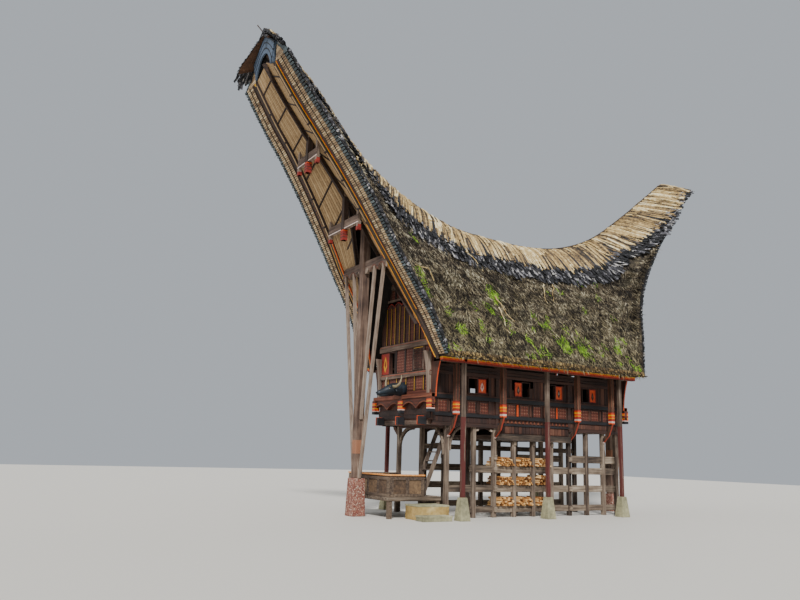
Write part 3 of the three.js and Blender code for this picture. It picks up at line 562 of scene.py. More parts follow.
def softened(node: str, finish: "Finish", bevel: float = 0.008) -> bpy.types.Object:
    """Stand a copy of a solid with worn edges in for that solid.

    Args:
        node: The solid's node.
        finish: What it is made of.
        bevel: Width of the worn edges in metres.

    Returns:
        The copy.
    """
    copy = bmesh.new()
    copy.from_mesh(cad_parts[node].data)
    bmesh.ops.remove_doubles(copy, verts=copy.verts, dist=1e-5)
    flat = [e for e in copy.edges if len(e.link_faces) == 2 and e.calc_face_angle() < math.radians(1)]
    bmesh.ops.dissolve_edges(copy, edges=flat, use_verts=True)
    mesh = bpy.data.meshes.new(f"{node}_worn")
    copy.to_mesh(mesh)
    copy.free()
    tone = mesh.attributes.new("tone", "FLOAT", "POINT")
    tone.data.foreach_set("value", [0.5] * len(mesh.vertices))
    return piece(f"{node}_worn", mesh, finish, (node,), bevel)


@dataclass(frozen=True)
class Surface:
    """What the paint of a finish is laid on: its tree, the place on the piece, and the signals there."""

    tree: bpy.types.NodeTree
    at: bpy.types.NodeSocket
    bare: bpy.types.NodeSocket
    fibre: bpy.types.NodeSocket
    weather: bpy.types.NodeSocket


# Noise keeps near its middle, so its share of a ramp is widened by this much
NOISE_REACH = 2.2
# Patches of weather on timber and thatch, about 0.8 m across, as cycles a metre
WEATHER_CYCLES = 1.3


@dataclass(frozen=True)
class Finish:
    """A finish with one colour ramp over grain noise and the tone of each body.

    The ramp is read at a mix of the tone, a grain noise stretched along the fibre and a broad
    noise for weather, so no two boards look alike.
    """

    name: str
    stops: tuple[tuple[float, str], ...]
    grain: Grain = Grain.EVEN
    scale: float = 1.0
    tone_share: float = 0.35
    grain_share: float = 0.45
    weather_share: float = 0.2
    roughness: float = 0.85
    bump: float = 0.35
    depth_mm: float = 4.0

    def material(self) -> bpy.types.Material:
        """Build the material once and return it from then on.

        Returns:
            The material.
        """
        known = bpy.data.materials.get(self.name)
        if known:
            return known
        made = bpy.data.materials.new(self.name)
        made.use_nodes = True
        tree = made.node_tree
        shader = tree.nodes["Principled BSDF"]
        shader.inputs["Roughness"].default_value = self.roughness
        at = place(tree, "ShaderNodeTexCoord").outputs["Object"]
        cycles = tuple(v * self.scale for v in self.grain.value)
        stretch = place(tree, "ShaderNodeMapping", {"Vector": at, "Scale": cycles})
        fibre, weather = (
            place(
                tree, "ShaderNodeTexNoise",
                {"Vector": where, "Scale": scale, "Detail": detail, "Roughness": 0.6},
            ).outputs[0]
            for where, scale, detail in ((stretch, 1.0, 4.0), (at, WEATHER_CYCLES * self.scale, 3.0))
        )
        tone = place(tree, "ShaderNodeAttribute", attribute_name="tone").outputs["Fac"]
        total: bpy.types.Node | float = 0.5
        for source, share in (
            (tone, self.tone_share), (fibre, self.grain_share * NOISE_REACH),
            (weather, self.weather_share * NOISE_REACH),
        ):
            around = place(tree, "ShaderNodeMath", {0: source, 1: 0.5}, operation="SUBTRACT")
            total = place(tree, "ShaderNodeMath", {0: around, 1: share, 2: total}, operation="MULTIPLY_ADD")
        ramp = place(tree, "ShaderNodeValToRGB", {"Fac": total})
        fill_ramp(ramp, self.stops)
        tree.links.new(
            self.paint(Surface(tree, at, ramp.outputs[0], fibre, weather)), shader.inputs["Base Color"]
        )
        depth = self.depth_mm / 1000
        relief = place(tree, "ShaderNodeBump", {"Height": fibre, "Strength": self.bump, "Distance": depth})
        tree.links.new(relief.outputs[0], shader.inputs["Normal"])
        return made

    def paint(self, on: Surface) -> bpy.types.NodeSocket:
        """Lay anything that covers the bare surface over its colour. A plain finish has nothing."""
        return on.bare


def fill_ramp(ramp: bpy.types.Node, stops: Sequence[tuple[float, str]], stepped: bool = False) -> None:
    """Set the stops of a colour ramp from positions and hex colours.

    Args:
        ramp: The colour ramp node.
        stops: Positions from 0 to 1 with their hex colours.
        stepped: Whether each colour holds until the next stop.
    """
    ramp.color_ramp.interpolation = "CONSTANT" if stepped else "LINEAR"
    elements = ramp.color_ramp.elements
    while len(elements) < len(stops):
        elements.new(0.5)
    for element, (at, colour) in zip(elements, stops):
        element.position = at
        element.color = linear(colour)


@dataclass(frozen=True)
class PaintedToHeight(Finish):
    """Wood whose lower part is painted: worn oil paint up to a height, bare and grey above it."""

    coat: str = "#5e1f1c"
    start: float = -1.0
    upto: float = 3.3
    worn: float = 0.5
    cover: float = 0.88

    def paint(self, on: Surface) -> bpy.types.NodeSocket:
        """Lay the coat over the bare wood below its height, worn through where the grain stands up.

        Args:
            on: The surface with its signals.

        Returns:
            The colour.
        """
        axes = place(on.tree, "ShaderNodeSeparateXYZ", {"Vector": on.at})
        middle, reach = (self.start + self.upto) / 2, (self.upto - self.start) / 2
        below = place(
            on.tree, "ShaderNodeMath", {0: axes.outputs[2], 1: middle, 2: reach}, operation="COMPARE"
        )
        kept = place(
            on.tree, "ShaderNodeMath", {0: on.fibre, 1: 0.38 + 0.24 * self.worn}, operation="LESS_THAN"
        )
        cover = place(on.tree, "ShaderNodeMath", {0: below, 1: kept}, operation="MULTIPLY")
        held = place(on.tree, "ShaderNodeMath", {0: cover, 1: self.cover}, operation="MULTIPLY")
        mixed = place(
            on.tree, "ShaderNodeMix", {"Factor": held, 6: on.bare, 7: linear(self.coat)}, data_type="RGBA"
        )
        return mixed.outputs[2]


class Plane(Enum):
    """The wall plane that a carved pattern lies in, by its two axes."""

    GABLE = (0, 2)
    LONG_SIDE = (1, 2)


@dataclass(frozen=True)
class Carving(Finish):
    """Incised hardwood filled with red, black, ochre and white earth paint.

    The motifs are nested diamonds and discs on a square grid, the traditional carved filling, at
    the size that shows from the yard.
    """

    plane: Plane = Plane.LONG_SIDE
    pitch_mm: float = 95.0
    stepped: tuple[tuple[float, str], ...] = (
        (0.0, "#b7a98c"), (0.13, "#231815"), (0.22, "#7d2a1d"), (0.4, "#2a1a16"), (0.47, "#8a5a2a"),
        (0.52, "#5b241b"), (0.78, "#1f1513"),
    )

    def paint(self, on: Surface) -> bpy.types.NodeSocket:
        """Cut the motifs into the surface and wear their paint with the grain.

        Args:
            on: The surface with its signals.

        Returns:
            The colour.
        """
        axes = place(on.tree, "ShaderNodeSeparateXYZ", {"Vector": on.at})
        away = []
        for axis in self.plane.value:
            cell = place(
                on.tree, "ShaderNodeMath", {0: axes.outputs[axis], 1: 1000 / self.pitch_mm},
                operation="MULTIPLY",
            )
            part = place(on.tree, "ShaderNodeMath", {0: cell}, operation="FRACT")
            centred = place(on.tree, "ShaderNodeMath", {0: part, 1: 0.5}, operation="SUBTRACT")
            away.append(place(on.tree, "ShaderNodeMath", {0: centred}, operation="ABSOLUTE").outputs[0])
        ring = place(on.tree, "ShaderNodeMath", {0: away[0], 1: away[1]}, operation="ADD")
        motif = place(on.tree, "ShaderNodeValToRGB", {"Fac": ring})
        fill_ramp(motif, self.stepped, stepped=True)
        worn = place(on.tree, "ShaderNodeMath", {0: on.fibre, 1: 0.7}, operation="MULTIPLY")
        mixed = place(on.tree, "ShaderNodeMix", {"Factor": worn, 6: motif, 7: on.bare}, data_type="RGBA")
        return mixed.outputs[2]


@dataclass(frozen=True)
class Moss(Finish):
    """Old thatch with moss: grey fibres with painted shade in level hollows, greener and paler at the eave.
    """

    green: str = "#4c4f22"
    pale: str = "#a3986c"
    hollow_shade: str = "#15110e"
    eave: float = 5.3
    upper: float = 9.0
    hollow_cycles: Point = (0.9, 0.9, 4.2)

    def paint(self, on: Surface) -> bpy.types.NodeSocket:
        """Lay moss in patches, bleach the lower part of the slope, and paint shade into level hollows.

        Args:
            on: The surface with its signals.

        Returns:
            The colour.
        """
        axes = place(on.tree, "ShaderNodeSeparateXYZ", {"Vector": on.at})
        tone = place(on.tree, "ShaderNodeAttribute", attribute_name="tone")
        height = place(
            on.tree, "ShaderNodeMapRange", {0: axes.outputs[2], 1: self.eave, 2: self.upper, 3: 0.75, 4: 0.05}
        )
        light = place(
            on.tree, "ShaderNodeMapRange", {0: tone.outputs["Fac"], 1: 0.5, 2: 0.95, 3: 0.0, 4: 1.0}
        )
        patch = place(on.tree, "ShaderNodeMapRange", {0: on.weather, 1: 0.52, 2: 0.75, 3: 0.0, 4: 0.3})
        bleached = place(on.tree, "ShaderNodeMath", {0: height, 1: light}, operation="MULTIPLY")
        paler = place(
            on.tree, "ShaderNodeMix", {"Factor": bleached, 6: on.bare, 7: linear(self.pale)}, data_type="RGBA"
        )
        mixed = place(
            on.tree, "ShaderNodeMix", {"Factor": patch, 6: paler.outputs[2], 7: linear(self.green)},
            data_type="RGBA",
        )
        # Painted shade: level bands of noise darken the colour towards near-black, for the shade in the
        # hollows between courses
        level = place(on.tree, "ShaderNodeMapping", {"Vector": on.at, "Scale": self.hollow_cycles})
        hollows = place(
            on.tree, "ShaderNodeTexNoise", {"Vector": level, "Scale": 1.0, "Detail": 4.0, "Roughness": 0.65}
        )
        sunk = place(on.tree, "ShaderNodeMapRange", {0: hollows, 1: 0.47, 2: 0.62, 3: 0.0, 4: 0.7})
        shaded = place(
            on.tree, "ShaderNodeMix", {"Factor": sunk, 6: mixed.outputs[2], 7: linear(self.hollow_shade)},
            data_type="RGBA",
        )
        return shaded.outputs[2]


@dataclass(frozen=True)
class Pebbled(Finish):
    """Rounded pebbles pressed into mortar, each with its own colour."""

    pebble_mm: float = 40.0
    pebbles: tuple[tuple[float, str], ...] = (
        (0.0, "#6b2f27"), (0.3, "#8f4a3c"), (0.5, "#b98e77"), (0.7, "#7c3b30"), (1.0, "#d6c4ae"),
    )

    def paint(self, on: Surface) -> bpy.types.NodeSocket:
        """Set the pebbles in the mortar and let the weather darken both.

        Args:
            on: The surface with its signals.

        Returns:
            The colour.
        """
        cells = place(on.tree, "ShaderNodeTexVoronoi", {"Vector": on.at, "Scale": 1000 / self.pebble_mm})
        edges = place(
            on.tree, "ShaderNodeTexVoronoi", {"Vector": on.at, "Scale": 1000 / self.pebble_mm},
            feature="DISTANCE_TO_EDGE",
        )
        drawn = place(on.tree, "ShaderNodeSeparateColor", {"Color": cells.outputs["Color"]})
        stone = place(on.tree, "ShaderNodeValToRGB", {"Fac": drawn})
        fill_ramp(stone, self.pebbles)
        inside = place(
            on.tree, "ShaderNodeMapRange", {0: edges.outputs["Distance"], 1: 0.03, 2: 0.12, 3: 0.0, 4: 0.8}
        )
        mixed = place(on.tree, "ShaderNodeMix", {"Factor": inside, 6: on.bare, 7: stone}, data_type="RGBA")
        return mixed.outputs[2]


class Spread(Enum):
    """How a laying tree finds the places of its units."""

    OVER_FACES = "scatter_over_faces"
    ALONG_EDGES = "rows_along_edges"


@dataclass(frozen=True)
class Laying:
    """A Geometry Nodes tree that lays copies of one small unit over a surface or along a path.

    The guide mesh carries three vector attributes: 'out', the way a unit's Z looks, 'run', the way
    its X looks, and 'size', its length, width and thickness.
    """

    spread: Spread
    pitch: float = 0.1
    density: float = 60.0
    turn: Point = (0.0, 0.0, 0.0)
    turn_spread: Point = (0.1, 0.1, 0.1)
    size_spread: float = 0.2
    seed: int = 1

    def tree(self) -> bpy.types.NodeTree:
        """Build the tree for this way of spreading, or return the one that is there already.

        Returns:
            The tree.
        """
        known = bpy.data.node_groups.get(self.spread.value)
        if known:
            return known
        tree = bpy.data.node_groups.new(self.spread.value, "GeometryNodeTree")
        sockets = (
            ("Geometry", "NodeSocketGeometry"), ("Unit", "NodeSocketObject"), ("Pitch", "NodeSocketFloat"),
            ("Density", "NodeSocketFloat"), ("Turn Low", "NodeSocketVector"),
            ("Turn High", "NodeSocketVector"), ("Size Low", "NodeSocketFloat"),
            ("Size High", "NodeSocketFloat"), ("Seed", "NodeSocketInt"), ("Material", "NodeSocketMaterial"),
        )
        for name, kind in sockets:
            tree.interface.new_socket(name, in_out="INPUT", socket_type=kind)
        tree.interface.new_socket("Geometry", in_out="OUTPUT", socket_type="NodeSocketGeometry")
        given = place(tree, "NodeGroupInput").outputs
        if self.spread is Spread.OVER_FACES:
            cover = place(tree, "GeometryNodeInputNamedAttribute", {"Name": "cover"}, data_type="FLOAT")
            dense = place(
                tree, "ShaderNodeMath", {0: cover.outputs["Attribute"], 1: given["Density"]},
                operation="MULTIPLY",
            )
            spots = place(
                tree, "GeometryNodeDistributePointsOnFaces",
                {"Mesh": given["Geometry"], "Density": dense, "Seed": given["Seed"]},
            ).outputs["Points"]
        else:
            path = place(tree, "GeometryNodeMeshToCurve", {"Mesh": given["Geometry"]})
            spots = place(
                tree, "GeometryNodeResampleCurve", {"Curve": path, "Length": given["Pitch"]}, mode="LENGTH",
            ).outputs[0]
        axes = {
            name: place(
                tree, "GeometryNodeInputNamedAttribute", {"Name": name}, data_type="FLOAT_VECTOR"
            ).outputs["Attribute"]
            for name in ("out", "run", "size")
        }
        facing = place(
            tree, "FunctionNodeAxesToRotation", {"Primary Axis": axes["out"], "Secondary Axis": axes["run"]},
            primary_axis="Z", secondary_axis="X",
        )
        turn = place(
            tree, "FunctionNodeRandomValue",
            {0: given["Turn Low"], 1: given["Turn High"], "Seed": given["Seed"]}, data_type="FLOAT_VECTOR",
        )
        turned = place(tree, "FunctionNodeEulerToRotation", {0: turn})
        pose = place(
            tree, "FunctionNodeRotateRotation", {0: facing, 1: turned}, rotation_space="LOCAL",
        )
        later = place(tree, "ShaderNodeMath", {0: given["Seed"], 1: 17.0}, operation="ADD")
        grow = place(
            tree, "FunctionNodeRandomValue", {2: given["Size Low"], 3: given["Size High"], "Seed": later},
            data_type="FLOAT",
        )
        scale = place(
            tree, "ShaderNodeVectorMath", {0: axes["size"], "Scale": grow.outputs[1]}, operation="SCALE"
        )
        unit = place(tree, "GeometryNodeObjectInfo", {"Object": given["Unit"]})
        laid = place(
            tree, "GeometryNodeInstanceOnPoints",
            {"Points": spots, "Instance": unit.outputs["Geometry"], "Rotation": pose, "Scale": scale},
        )
        last = place(tree, "ShaderNodeMath", {0: given["Seed"], 1: 31.0}, operation="ADD")
        shade = place(tree, "FunctionNodeRandomValue", {2: 0.0, 3: 1.0, "Seed": last}, data_type="FLOAT")
        toned = place(
            tree, "GeometryNodeStoreNamedAttribute",
            {"Geometry": laid, "Name": "tone", "Value": shade.outputs[1]},
            data_type="FLOAT", domain="INSTANCE",
        )
        real = place(tree, "GeometryNodeRealizeInstances", {"Geometry": toned})
        dressed = place(tree, "GeometryNodeSetMaterial", {"Geometry": real, "Material": given["Material"]})
        place(tree, "NodeGroupOutput", {"Geometry": dressed})
        return tree

    def lay(
        self, name: str, guide: bpy.types.Mesh, unit: Draft, finish: "Finish", slot: str
    ) -> bpy.types.Object:
        """Lay the unit over the guide and make the result a piece with a plain mesh.

        Args:
            name: Name of the piece.
            guide: The surface or the paths, with its attributes.
            unit: One unit, about a metre in each direction, centred as it should stand on its place.
            finish: What every unit is made of.
            slot: The record's material slot; not used.

        Returns:
            The piece.
        """
        shape = unit.mesh(f"{name}_unit")
        shape.attributes.remove(shape.attributes["tone"])
        ground, master = stand(f"{name}_guide", guide), stand(f"{name}_unit", shape)
        modifier = ground.modifiers.new("laying", "NODES")
        modifier.node_group = self.tree()
        low = tuple(t - s for t, s in zip(self.turn, self.turn_spread))
        high = tuple(t + s for t, s in zip(self.turn, self.turn_spread))
        values = {
            "Unit": master, "Pitch": self.pitch, "Density": self.density, "Turn Low": low, "Turn High": high,
            "Size Low": 1.0 - self.size_spread, "Size High": 1.0 + self.size_spread, "Seed": self.seed,
            "Material": finish.material(),
        }
        for item in modifier.node_group.interface.items_tree:
            if item.in_out == "INPUT" and item.name in values:
                modifier[item.identifier] = values[item.name]
        graph = bpy.context.evaluated_depsgraph_get()
        laid = bpy.data.meshes.new_from_object(ground.evaluated_get(graph), depsgraph=graph)
        laid.name = name
        for spent in (ground, master):
            bpy.data.objects.remove(spent)
        for attribute in [a.name for a in laid.attributes if a.name in ("out", "run", "size", "cover")]:
            laid.attributes.remove(laid.attributes[attribute])
        return piece(name, laid, finish)


@dataclass
class Guide:
    """A guide mesh for a laying: points with the directions and sizes of the units there."""

    points: list[Point] = field(default_factory=list)
    out: list[Point] = field(default_factory=list)
    run: list[Point] = field(default_factory=list)
    size: list[Point] = field(default_factory=list)
    cover: list[float] = field(default_factory=list)
    edges: list[tuple[int, int]] = field(default_factory=list)
    faces: list[tuple[int, ...]] = field(default_factory=list)

    def path(self, points: np.ndarray, out: np.ndarray, run: np.ndarray, size: np.ndarray) -> None:
        """Add one path, with an array row for each of its points.

        Args:
            points: Points of the path.
            out: The way that the units face.
            run: The way that they lie.
            size: Length, width and thickness of a unit.
        """
        start = len(self.points)
        self.points.extend(map(tuple, points))
        for store, rows in ((self.out, out), (self.run, run), (self.size, size)):
            store.extend(map(tuple, np.broadcast_to(rows, points.shape)))
        self.cover.extend([1.0] * len(points))
        self.edges.extend((start + k, start + k + 1) for k in range(len(points) - 1))

    def mesh(self, name: str) -> bpy.types.Mesh:
        """Turn the guide into a mesh with its attributes.

        Args:
            name: Name of the mesh.

        Returns:
            The mesh, with an attribute for each list.
        """
        made = bpy.data.meshes.new(name)
        made.from_pydata(self.points, self.edges, self.faces)
        for key, rows in (("out", self.out), ("run", self.run), ("size", self.size)):
            store = made.attributes.new(key, "FLOAT_VECTOR", "POINT")
            store.data.foreach_set("vector", np.array(rows, dtype=np.float32).ravel())
        made.attributes.new("cover", "FLOAT", "POINT").data.foreach_set("value", self.cover)
        return made


def unit_of(rows: np.ndarray) -> np.ndarray:
    """Scale each row of an array to length 1."""
    return rows / np.linalg.norm(rows, axis=-1, keepdims=True)


def reed_unit(sides: int = 6) -> Draft:
    """A round reed a metre long along X and a metre thick, lying with its middle on its place.

    Args:
        sides: Number of sides of its section.

    Returns:
        The unit.
    """
    made = Draft()
    turns = [2 * math.pi * i / sides for i in range(sides)]
    made.loft([[(x, 0.5 * math.cos(t), 0.5 * math.sin(t)) for t in turns] for x in (-0.5, 0.5)], 0.5)
    return made


def strip_unit(bend: float = 0.0, steps: int = 4, start: float = 0.0) -> Draft:
    """A flat strip a metre long along X from its place, a metre wide, arched by the bend.

    Args:
        bend: Height of the arch in its middle.
        steps: Number of lengths it is made of.
        start: Where along X it begins.

    Returns:
        The unit.
    """
    made = Draft()
    rings = []
    for k in range(steps + 1):
        t = k / steps
        z = bend * 4 * t * (1 - t)
        rings.append(
            [
                (start + t, -0.5, z - 0.5), (start + t, 0.5, z - 0.5), (start + t, 0.5, z + 0.5),
                (start + t, -0.5, z + 0.5),
            ]
        )
    made.loft(rings, 0.5)
    return made


def blade_unit() -> Draft:
    """One blade of thatch: a pointed sliver along X, its root sunk in and its tip lifted off the surface.

    Returns:
        The unit.
    """
    made = Draft()
    corners = [(-0.25, -0.05, -0.06), (-0.25, 0.05, -0.06), (0.15, 0.0, 0.1), (1.0, 0.0, 0.12)]
    made.add(corners, [(0, 2, 1), (0, 1, 3), (1, 2, 3), (2, 0, 3)], 0.5)
    return made


# Bamboo thatch, split and laid in dozens of courses, rotted to black and grey fibre; its broad patches of
# weather noise are partly painted shade, the dark of shadowed hollows
THATCH = Moss(
    "bamboo_thatch",
    (
        (0.0, "#0d0b08"), (0.28, "#241d16"), (0.48, "#4a4033"), (0.68, "#7b6d57"), (0.85, "#aea389"),
        (1.0, "#ddd4bc"),
    ),
    scale=1.4, tone_share=0.7, grain_share=0.45, weather_share=0.55, roughness=0.95, bump=0.6, depth_mm=14.0,
)
# Ferns and moss that root in the wet lower courses: matt yellow-green
FERN = Finish(
    "roof_fern", ((0.0, "#476e12"), (0.5, "#7dab22"), (1.0, "#b9dc42")), tone_share=0.9, roughness=0.8,
    bump=0.1,
)
# Split bamboo culms on the ridge: dry straw colour with grey weather streaks along the fibre
CULMS = Finish(
    "split_bamboo",
    (
        (0.0, "#2c2318"), (0.2, "#5c4a32"), (0.42, "#94794c"), (0.65, "#b39762"), (0.85, "#c9b27e"),
        (1.0, "#e2d4ac"),
    ),
    scale=0.9, tone_share=0.9, grain_share=0.6, weather_share=0.45, roughness=0.75, bump=0.5, depth_mm=6.0,
)
# Sugar palm fibre and blackened bamboo leaf under the cap: black with bleached edges; the same black is also
# laid as painted shade under the ridge culms and in the gaps of the rim's reeds
PALM_FIBRE_AND_SHADE = Finish(
    "palm_fibre",
    ((0.0, "#080809"), (0.45, "#18181a"), (0.68, "#343338"), (0.84, "#716f73"), (1.0, "#beb9b1")),
    tone_share=0.8, grain_share=0.4, roughness=0.8, bump=0.4,
)
# Cut bamboo ends bound in two rows along the rim: dry tan reed
REED = Finish(
    "dry_reed", ((0.0, "#4b3b2c"), (0.3, "#92785c"), (0.6, "#bba17c"), (1.0, "#dfceaa")),
    tone_share=0.6, grain_share=0.3, roughness=0.8, bump=0.3,
)
# Old bamboo flats along the outer rim, weathered to slate grey with a waxy sheen
SLATE_FLAT = Finish(
    "weathered_bamboo_flat", ((0.0, "#15191b"), (0.4, "#313a3d"), (0.75, "#4f5a5d"), (1.0, "#7a8487")),
    tone_share=0.6, grain_share=0.3, roughness=0.55, bump=0.3,
)
# Plaited bamboo under the horns: warm tan slats, greyer in the open
PLAITED = Finish(
    "plaited_bamboo", ((0.0, "#6d5334"), (0.35, "#a2835a"), (0.65, "#bb9d74"), (1.0, "#d4bd96")),
    Grain.ALONG_Z, tone_share=0.45, grain_share=0.35, roughness=0.7, bump=0.25,
)
# The inner face of the thatch, black with smoke and shade
THATCH_LINING = Finish(
    "thatch_underside", ((0.0, "#070504"), (0.5, "#17110c"), (1.0, "#33281c")), Grain.ALONG_Y,
    roughness=0.95, bump=0.5,
)
# Hardwood darkened by smoke and sun, brown-black with open grain
DARK_WOOD = Finish(
    "smoked_hardwood", ((0.0, "#140e0b"), (0.4, "#2d1f18"), (0.7, "#4a3426"), (1.0, "#6a4c37")),
    Grain.ALONG_Y, roughness=0.7,
)
# Yellow earth paint on the rim lines, satin and slightly worn
YELLOW_PAINT = Finish(
    "yellow_earth_paint", ((0.0, "#80560f"), (0.4, "#cc9419"), (1.0, "#f0c22e")), Grain.ALONG_Z,
    roughness=0.5, bump=0.1, tone_share=0.2, grain_share=0.35,
)
# Orange-red paint on trims, satin, faded to salmon where the sun hits
ORANGE_PAINT = Finish(
    "orange_red_paint", ((0.0, "#7d230d"), (0.45, "#cf4a17"), (0.8, "#e36a2c"), (1.0, "#f09a62")),
    roughness=0.5, bump=0.1, tone_share=0.3, grain_share=0.4,
)
# Hardwood posts in the open: silver-grey face over brown, long dark checks along the grain; the ramp is
# darkened overall as painted shade, for the shade under the house
SHADED_POST_WOOD = Finish(
    "weathered_post",
    ((0.0, "#120d0a"), (0.28, "#2f241c"), (0.5, "#54453a"), (0.75, "#7a6a5a"), (1.0, "#a89886")),
    Grain.ALONG_Z, tone_share=0.4, grain_share=0.6, weather_share=0.35, bump=0.5, depth_mm=6.0,
)
# The same wood lying as rails and sills, with a paler ramp than the posts
RAIL_WOOD = Finish(
    "weathered_rail",
    ((0.0, "#1b1511"), (0.28, "#43372d"), (0.5, "#695a4b"), (0.75, "#8d7d6b"), (1.0, "#b5a794")),
    Grain.ALONG_Y, tone_share=0.4, grain_share=0.55, weather_share=0.35, bump=0.45, depth_mm=5.0,
)
# Sawn hardwood boards across the gables and horns: grey-brown with a red tinge of old paint
BEAM_WOOD = Finish(
    "weathered_beam",
    ((0.0, "#1a120f"), (0.3, "#3c2c24"), (0.55, "#5f4c40"), (0.8, "#806c5d"), (1.0, "#a69484")),
    Grain.ALONG_X, tone_share=0.35, grain_share=0.55, weather_share=0.3, bump=0.4,
)
# Pale grey planed wood of the stays and strut ends, with a faint warm tinge
STAY_WOOD = Finish(
    "bleached_stay", ((0.0, "#3a2f28"), (0.3, "#665548"), (0.6, "#8b796a"), (1.0, "#bcae9e")),
    Grain.ALONG_Z, tone_share=0.4, grain_share=0.5, bump=0.35,
)
# Smoke-darkened planks of the walls, brown with a red cast
WALL_PLANK = Finish(
    "wall_plank", ((0.0, "#100a08"), (0.3, "#2b1812"), (0.55, "#45281d"), (0.8, "#5f3a2a"), (1.0, "#7d5540")),
    Grain.ALONG_Z, tone_share=0.55, grain_share=0.5, weather_share=0.3, roughness=0.75, bump=0.4,
)
# Red-brown planks under the windows and beside the carved head
RED_PLANK = Finish(
    "red_brown_plank",
    ((0.0, "#1a0b09"), (0.3, "#3b1a12"), (0.6, "#5b2c1d"), (0.85, "#7a442c"), (1.0, "#95624a")),
    Grain.ALONG_X, tone_share=0.5, grain_share=0.5, roughness=0.75, bump=0.35,
)
# Moulded boards along the eaves and sills, soot-brown with worn red on their edges
MOULDING = Finish(
    "moulded_board", ((0.0, "#0f0a08"), (0.4, "#2a1a14"), (0.7, "#44291f"), (1.0, "#654234")),
    Grain.ALONG_Y, tone_share=0.5, grain_share=0.45, roughness=0.7, bump=0.35,
)
# Beams painted with lamp black, dusty and bluish in daylight
LAMP_BLACK = Finish(
    "lamp_black_paint", ((0.0, "#08080a"), (0.5, "#151417"), (0.85, "#26252a"), (1.0, "#403f44")),
    Grain.ALONG_Y, tone_share=0.4, grain_share=0.45, roughness=0.6, bump=0.25,
)
# Red earth paint, matt, worn to brown on the grain
RED_PAINT = Finish(
    "red_earth_paint", ((0.0, "#3d120d"), (0.4, "#7e2015"), (0.75, "#a52f1c"), (1.0, "#c65a40")),
    tone_share=0.3, grain_share=0.4, roughness=0.65, bump=0.15,
)
# Lime white with a pink cast, the lowest band on the hanging posts
WHITE_PAINT = Finish(
    "lime_white_paint", ((0.0, "#8b6f66"), (0.4, "#c4a79c"), (1.0, "#e9dcd2")), tone_share=0.3,
    roughness=0.7, bump=0.15,
)
# Slate-blue painted boards at the tips, chalky in the light
SLATE_PAINT = Finish(
    "slate_blue_paint", ((0.0, "#1f2730"), (0.4, "#3c4856"), (0.75, "#566579"), (1.0, "#8290a3")),
    Grain.ALONG_X, tone_share=0.4, grain_share=0.4, roughness=0.6, bump=0.2,
)
# Matting of palm fibre over the tips, sun-browned
MAT = Finish(
    "palm_mat", ((0.0, "#1b110c"), (0.35, "#3f291c"), (0.7, "#634530"), (1.0, "#8a694c")),
    Grain.ALONG_X, scale=1.6, tone_share=0.55, grain_share=0.5, bump=0.5, depth_mm=8.0,
)
# Blackened wood of the carved head, oily blue-black
HEAD_BLACK = Finish(
    "blackened_head", ((0.0, "#06090c"), (0.4, "#131b22"), (0.75, "#24313c"), (1.0, "#44525e")),
    Grain.ALONG_Y, tone_share=0.2, grain_share=0.4, roughness=0.5, bump=0.3,
)
# Real horn, ringed near the root, grey-olive to straw
HORN = Finish(
    "buffalo_horn", ((0.0, "#4a4232"), (0.4, "#7d7055"), (0.8, "#a99b79"), (1.0, "#c9bd9c")),
    scale=2.0, tone_share=0.5, grain_share=0.4, roughness=0.45, bump=0.25,
)
# Cast concrete of the column feet, sun-yellowed with green-grey damp
CONCRETE = Finish(
    "aged_concrete", ((0.0, "#4f4d3c"), (0.35, "#7d795e"), (0.65, "#9c9776"), (1.0, "#c2bc9f")),
    tone_share=0.3, grain_share=0.4, weather_share=0.5, roughness=0.95, bump=0.4, depth_mm=3.0,
)
# Cement steps with an ochre wash, scuffed grey on the treads
OCHRE_CEMENT = Finish(
    "ochre_cement", ((0.0, "#55462a"), (0.35, "#8e7440"), (0.65, "#b2965c"), (1.0, "#d3c08e")),
    scale=0.8, tone_share=0.5, grain_share=0.35, weather_share=0.55, roughness=0.9, bump=0.35, depth_mm=3.0,
)
# New softwood plank, orange-blond
NEW_PLANK = Finish(
    "new_plank", ((0.0, "#a8622a"), (0.4, "#d18a45"), (0.8, "#e6ab6c"), (1.0, "#f2cb98")),
    Grain.ALONG_X, tone_share=0.3, grain_share=0.5, roughness=0.6, bump=0.2,
)
# Deck boards: mid-brown, muddy and dry
DECK_WOOD = Finish(
    "deck_board", ((0.0, "#1d1512"), (0.3, "#42342a"), (0.6, "#655444"), (1.0, "#95836e")),
    Grain.ALONG_X, tone_share=0.5, grain_share=0.5, weather_share=0.35, bump=0.4,
)
# Cut stalk ends under the eave: brown, mossy, rough
STALK = Finish(
    "eave_stalk", ((0.0, "#17110a"), (0.35, "#3f311c"), (0.65, "#665232"), (1.0, "#98804f")),
    tone_share=0.9, grain_share=0.3, roughness=0.9, bump=0.3,
)
# Split firewood, orange-blond on the fresh faces and brown in the bark
FIREWOOD = Finish(
    "split_firewood", ((0.0, "#4a2c14"), (0.3, "#9a6430"), (0.6, "#c8924f"), (1.0, "#ecc78e")),
    Grain.ALONG_X, tone_share=0.8, grain_share=0.4, roughness=0.8, bump=0.4,
)
# Panels cut with a knife and rubbed with earth paint: red-brown wood under red, black, ochre and white
CARVED_WOOD = ((0.0, "#160c0a"), (0.5, "#4a211a"), (1.0, "#7c4a3a"))
CARVED_GABLE = Carving(
    "carved_gable_panel", CARVED_WOOD, Grain.ALONG_Z, plane=Plane.GABLE, pitch_mm=105.0, roughness=0.75
)
CARVED_SIDE = Carving(
    "carved_side_panel", CARVED_WOOD, Grain.ALONG_Z, plane=Plane.LONG_SIDE, pitch_mm=120.0, roughness=0.75
)
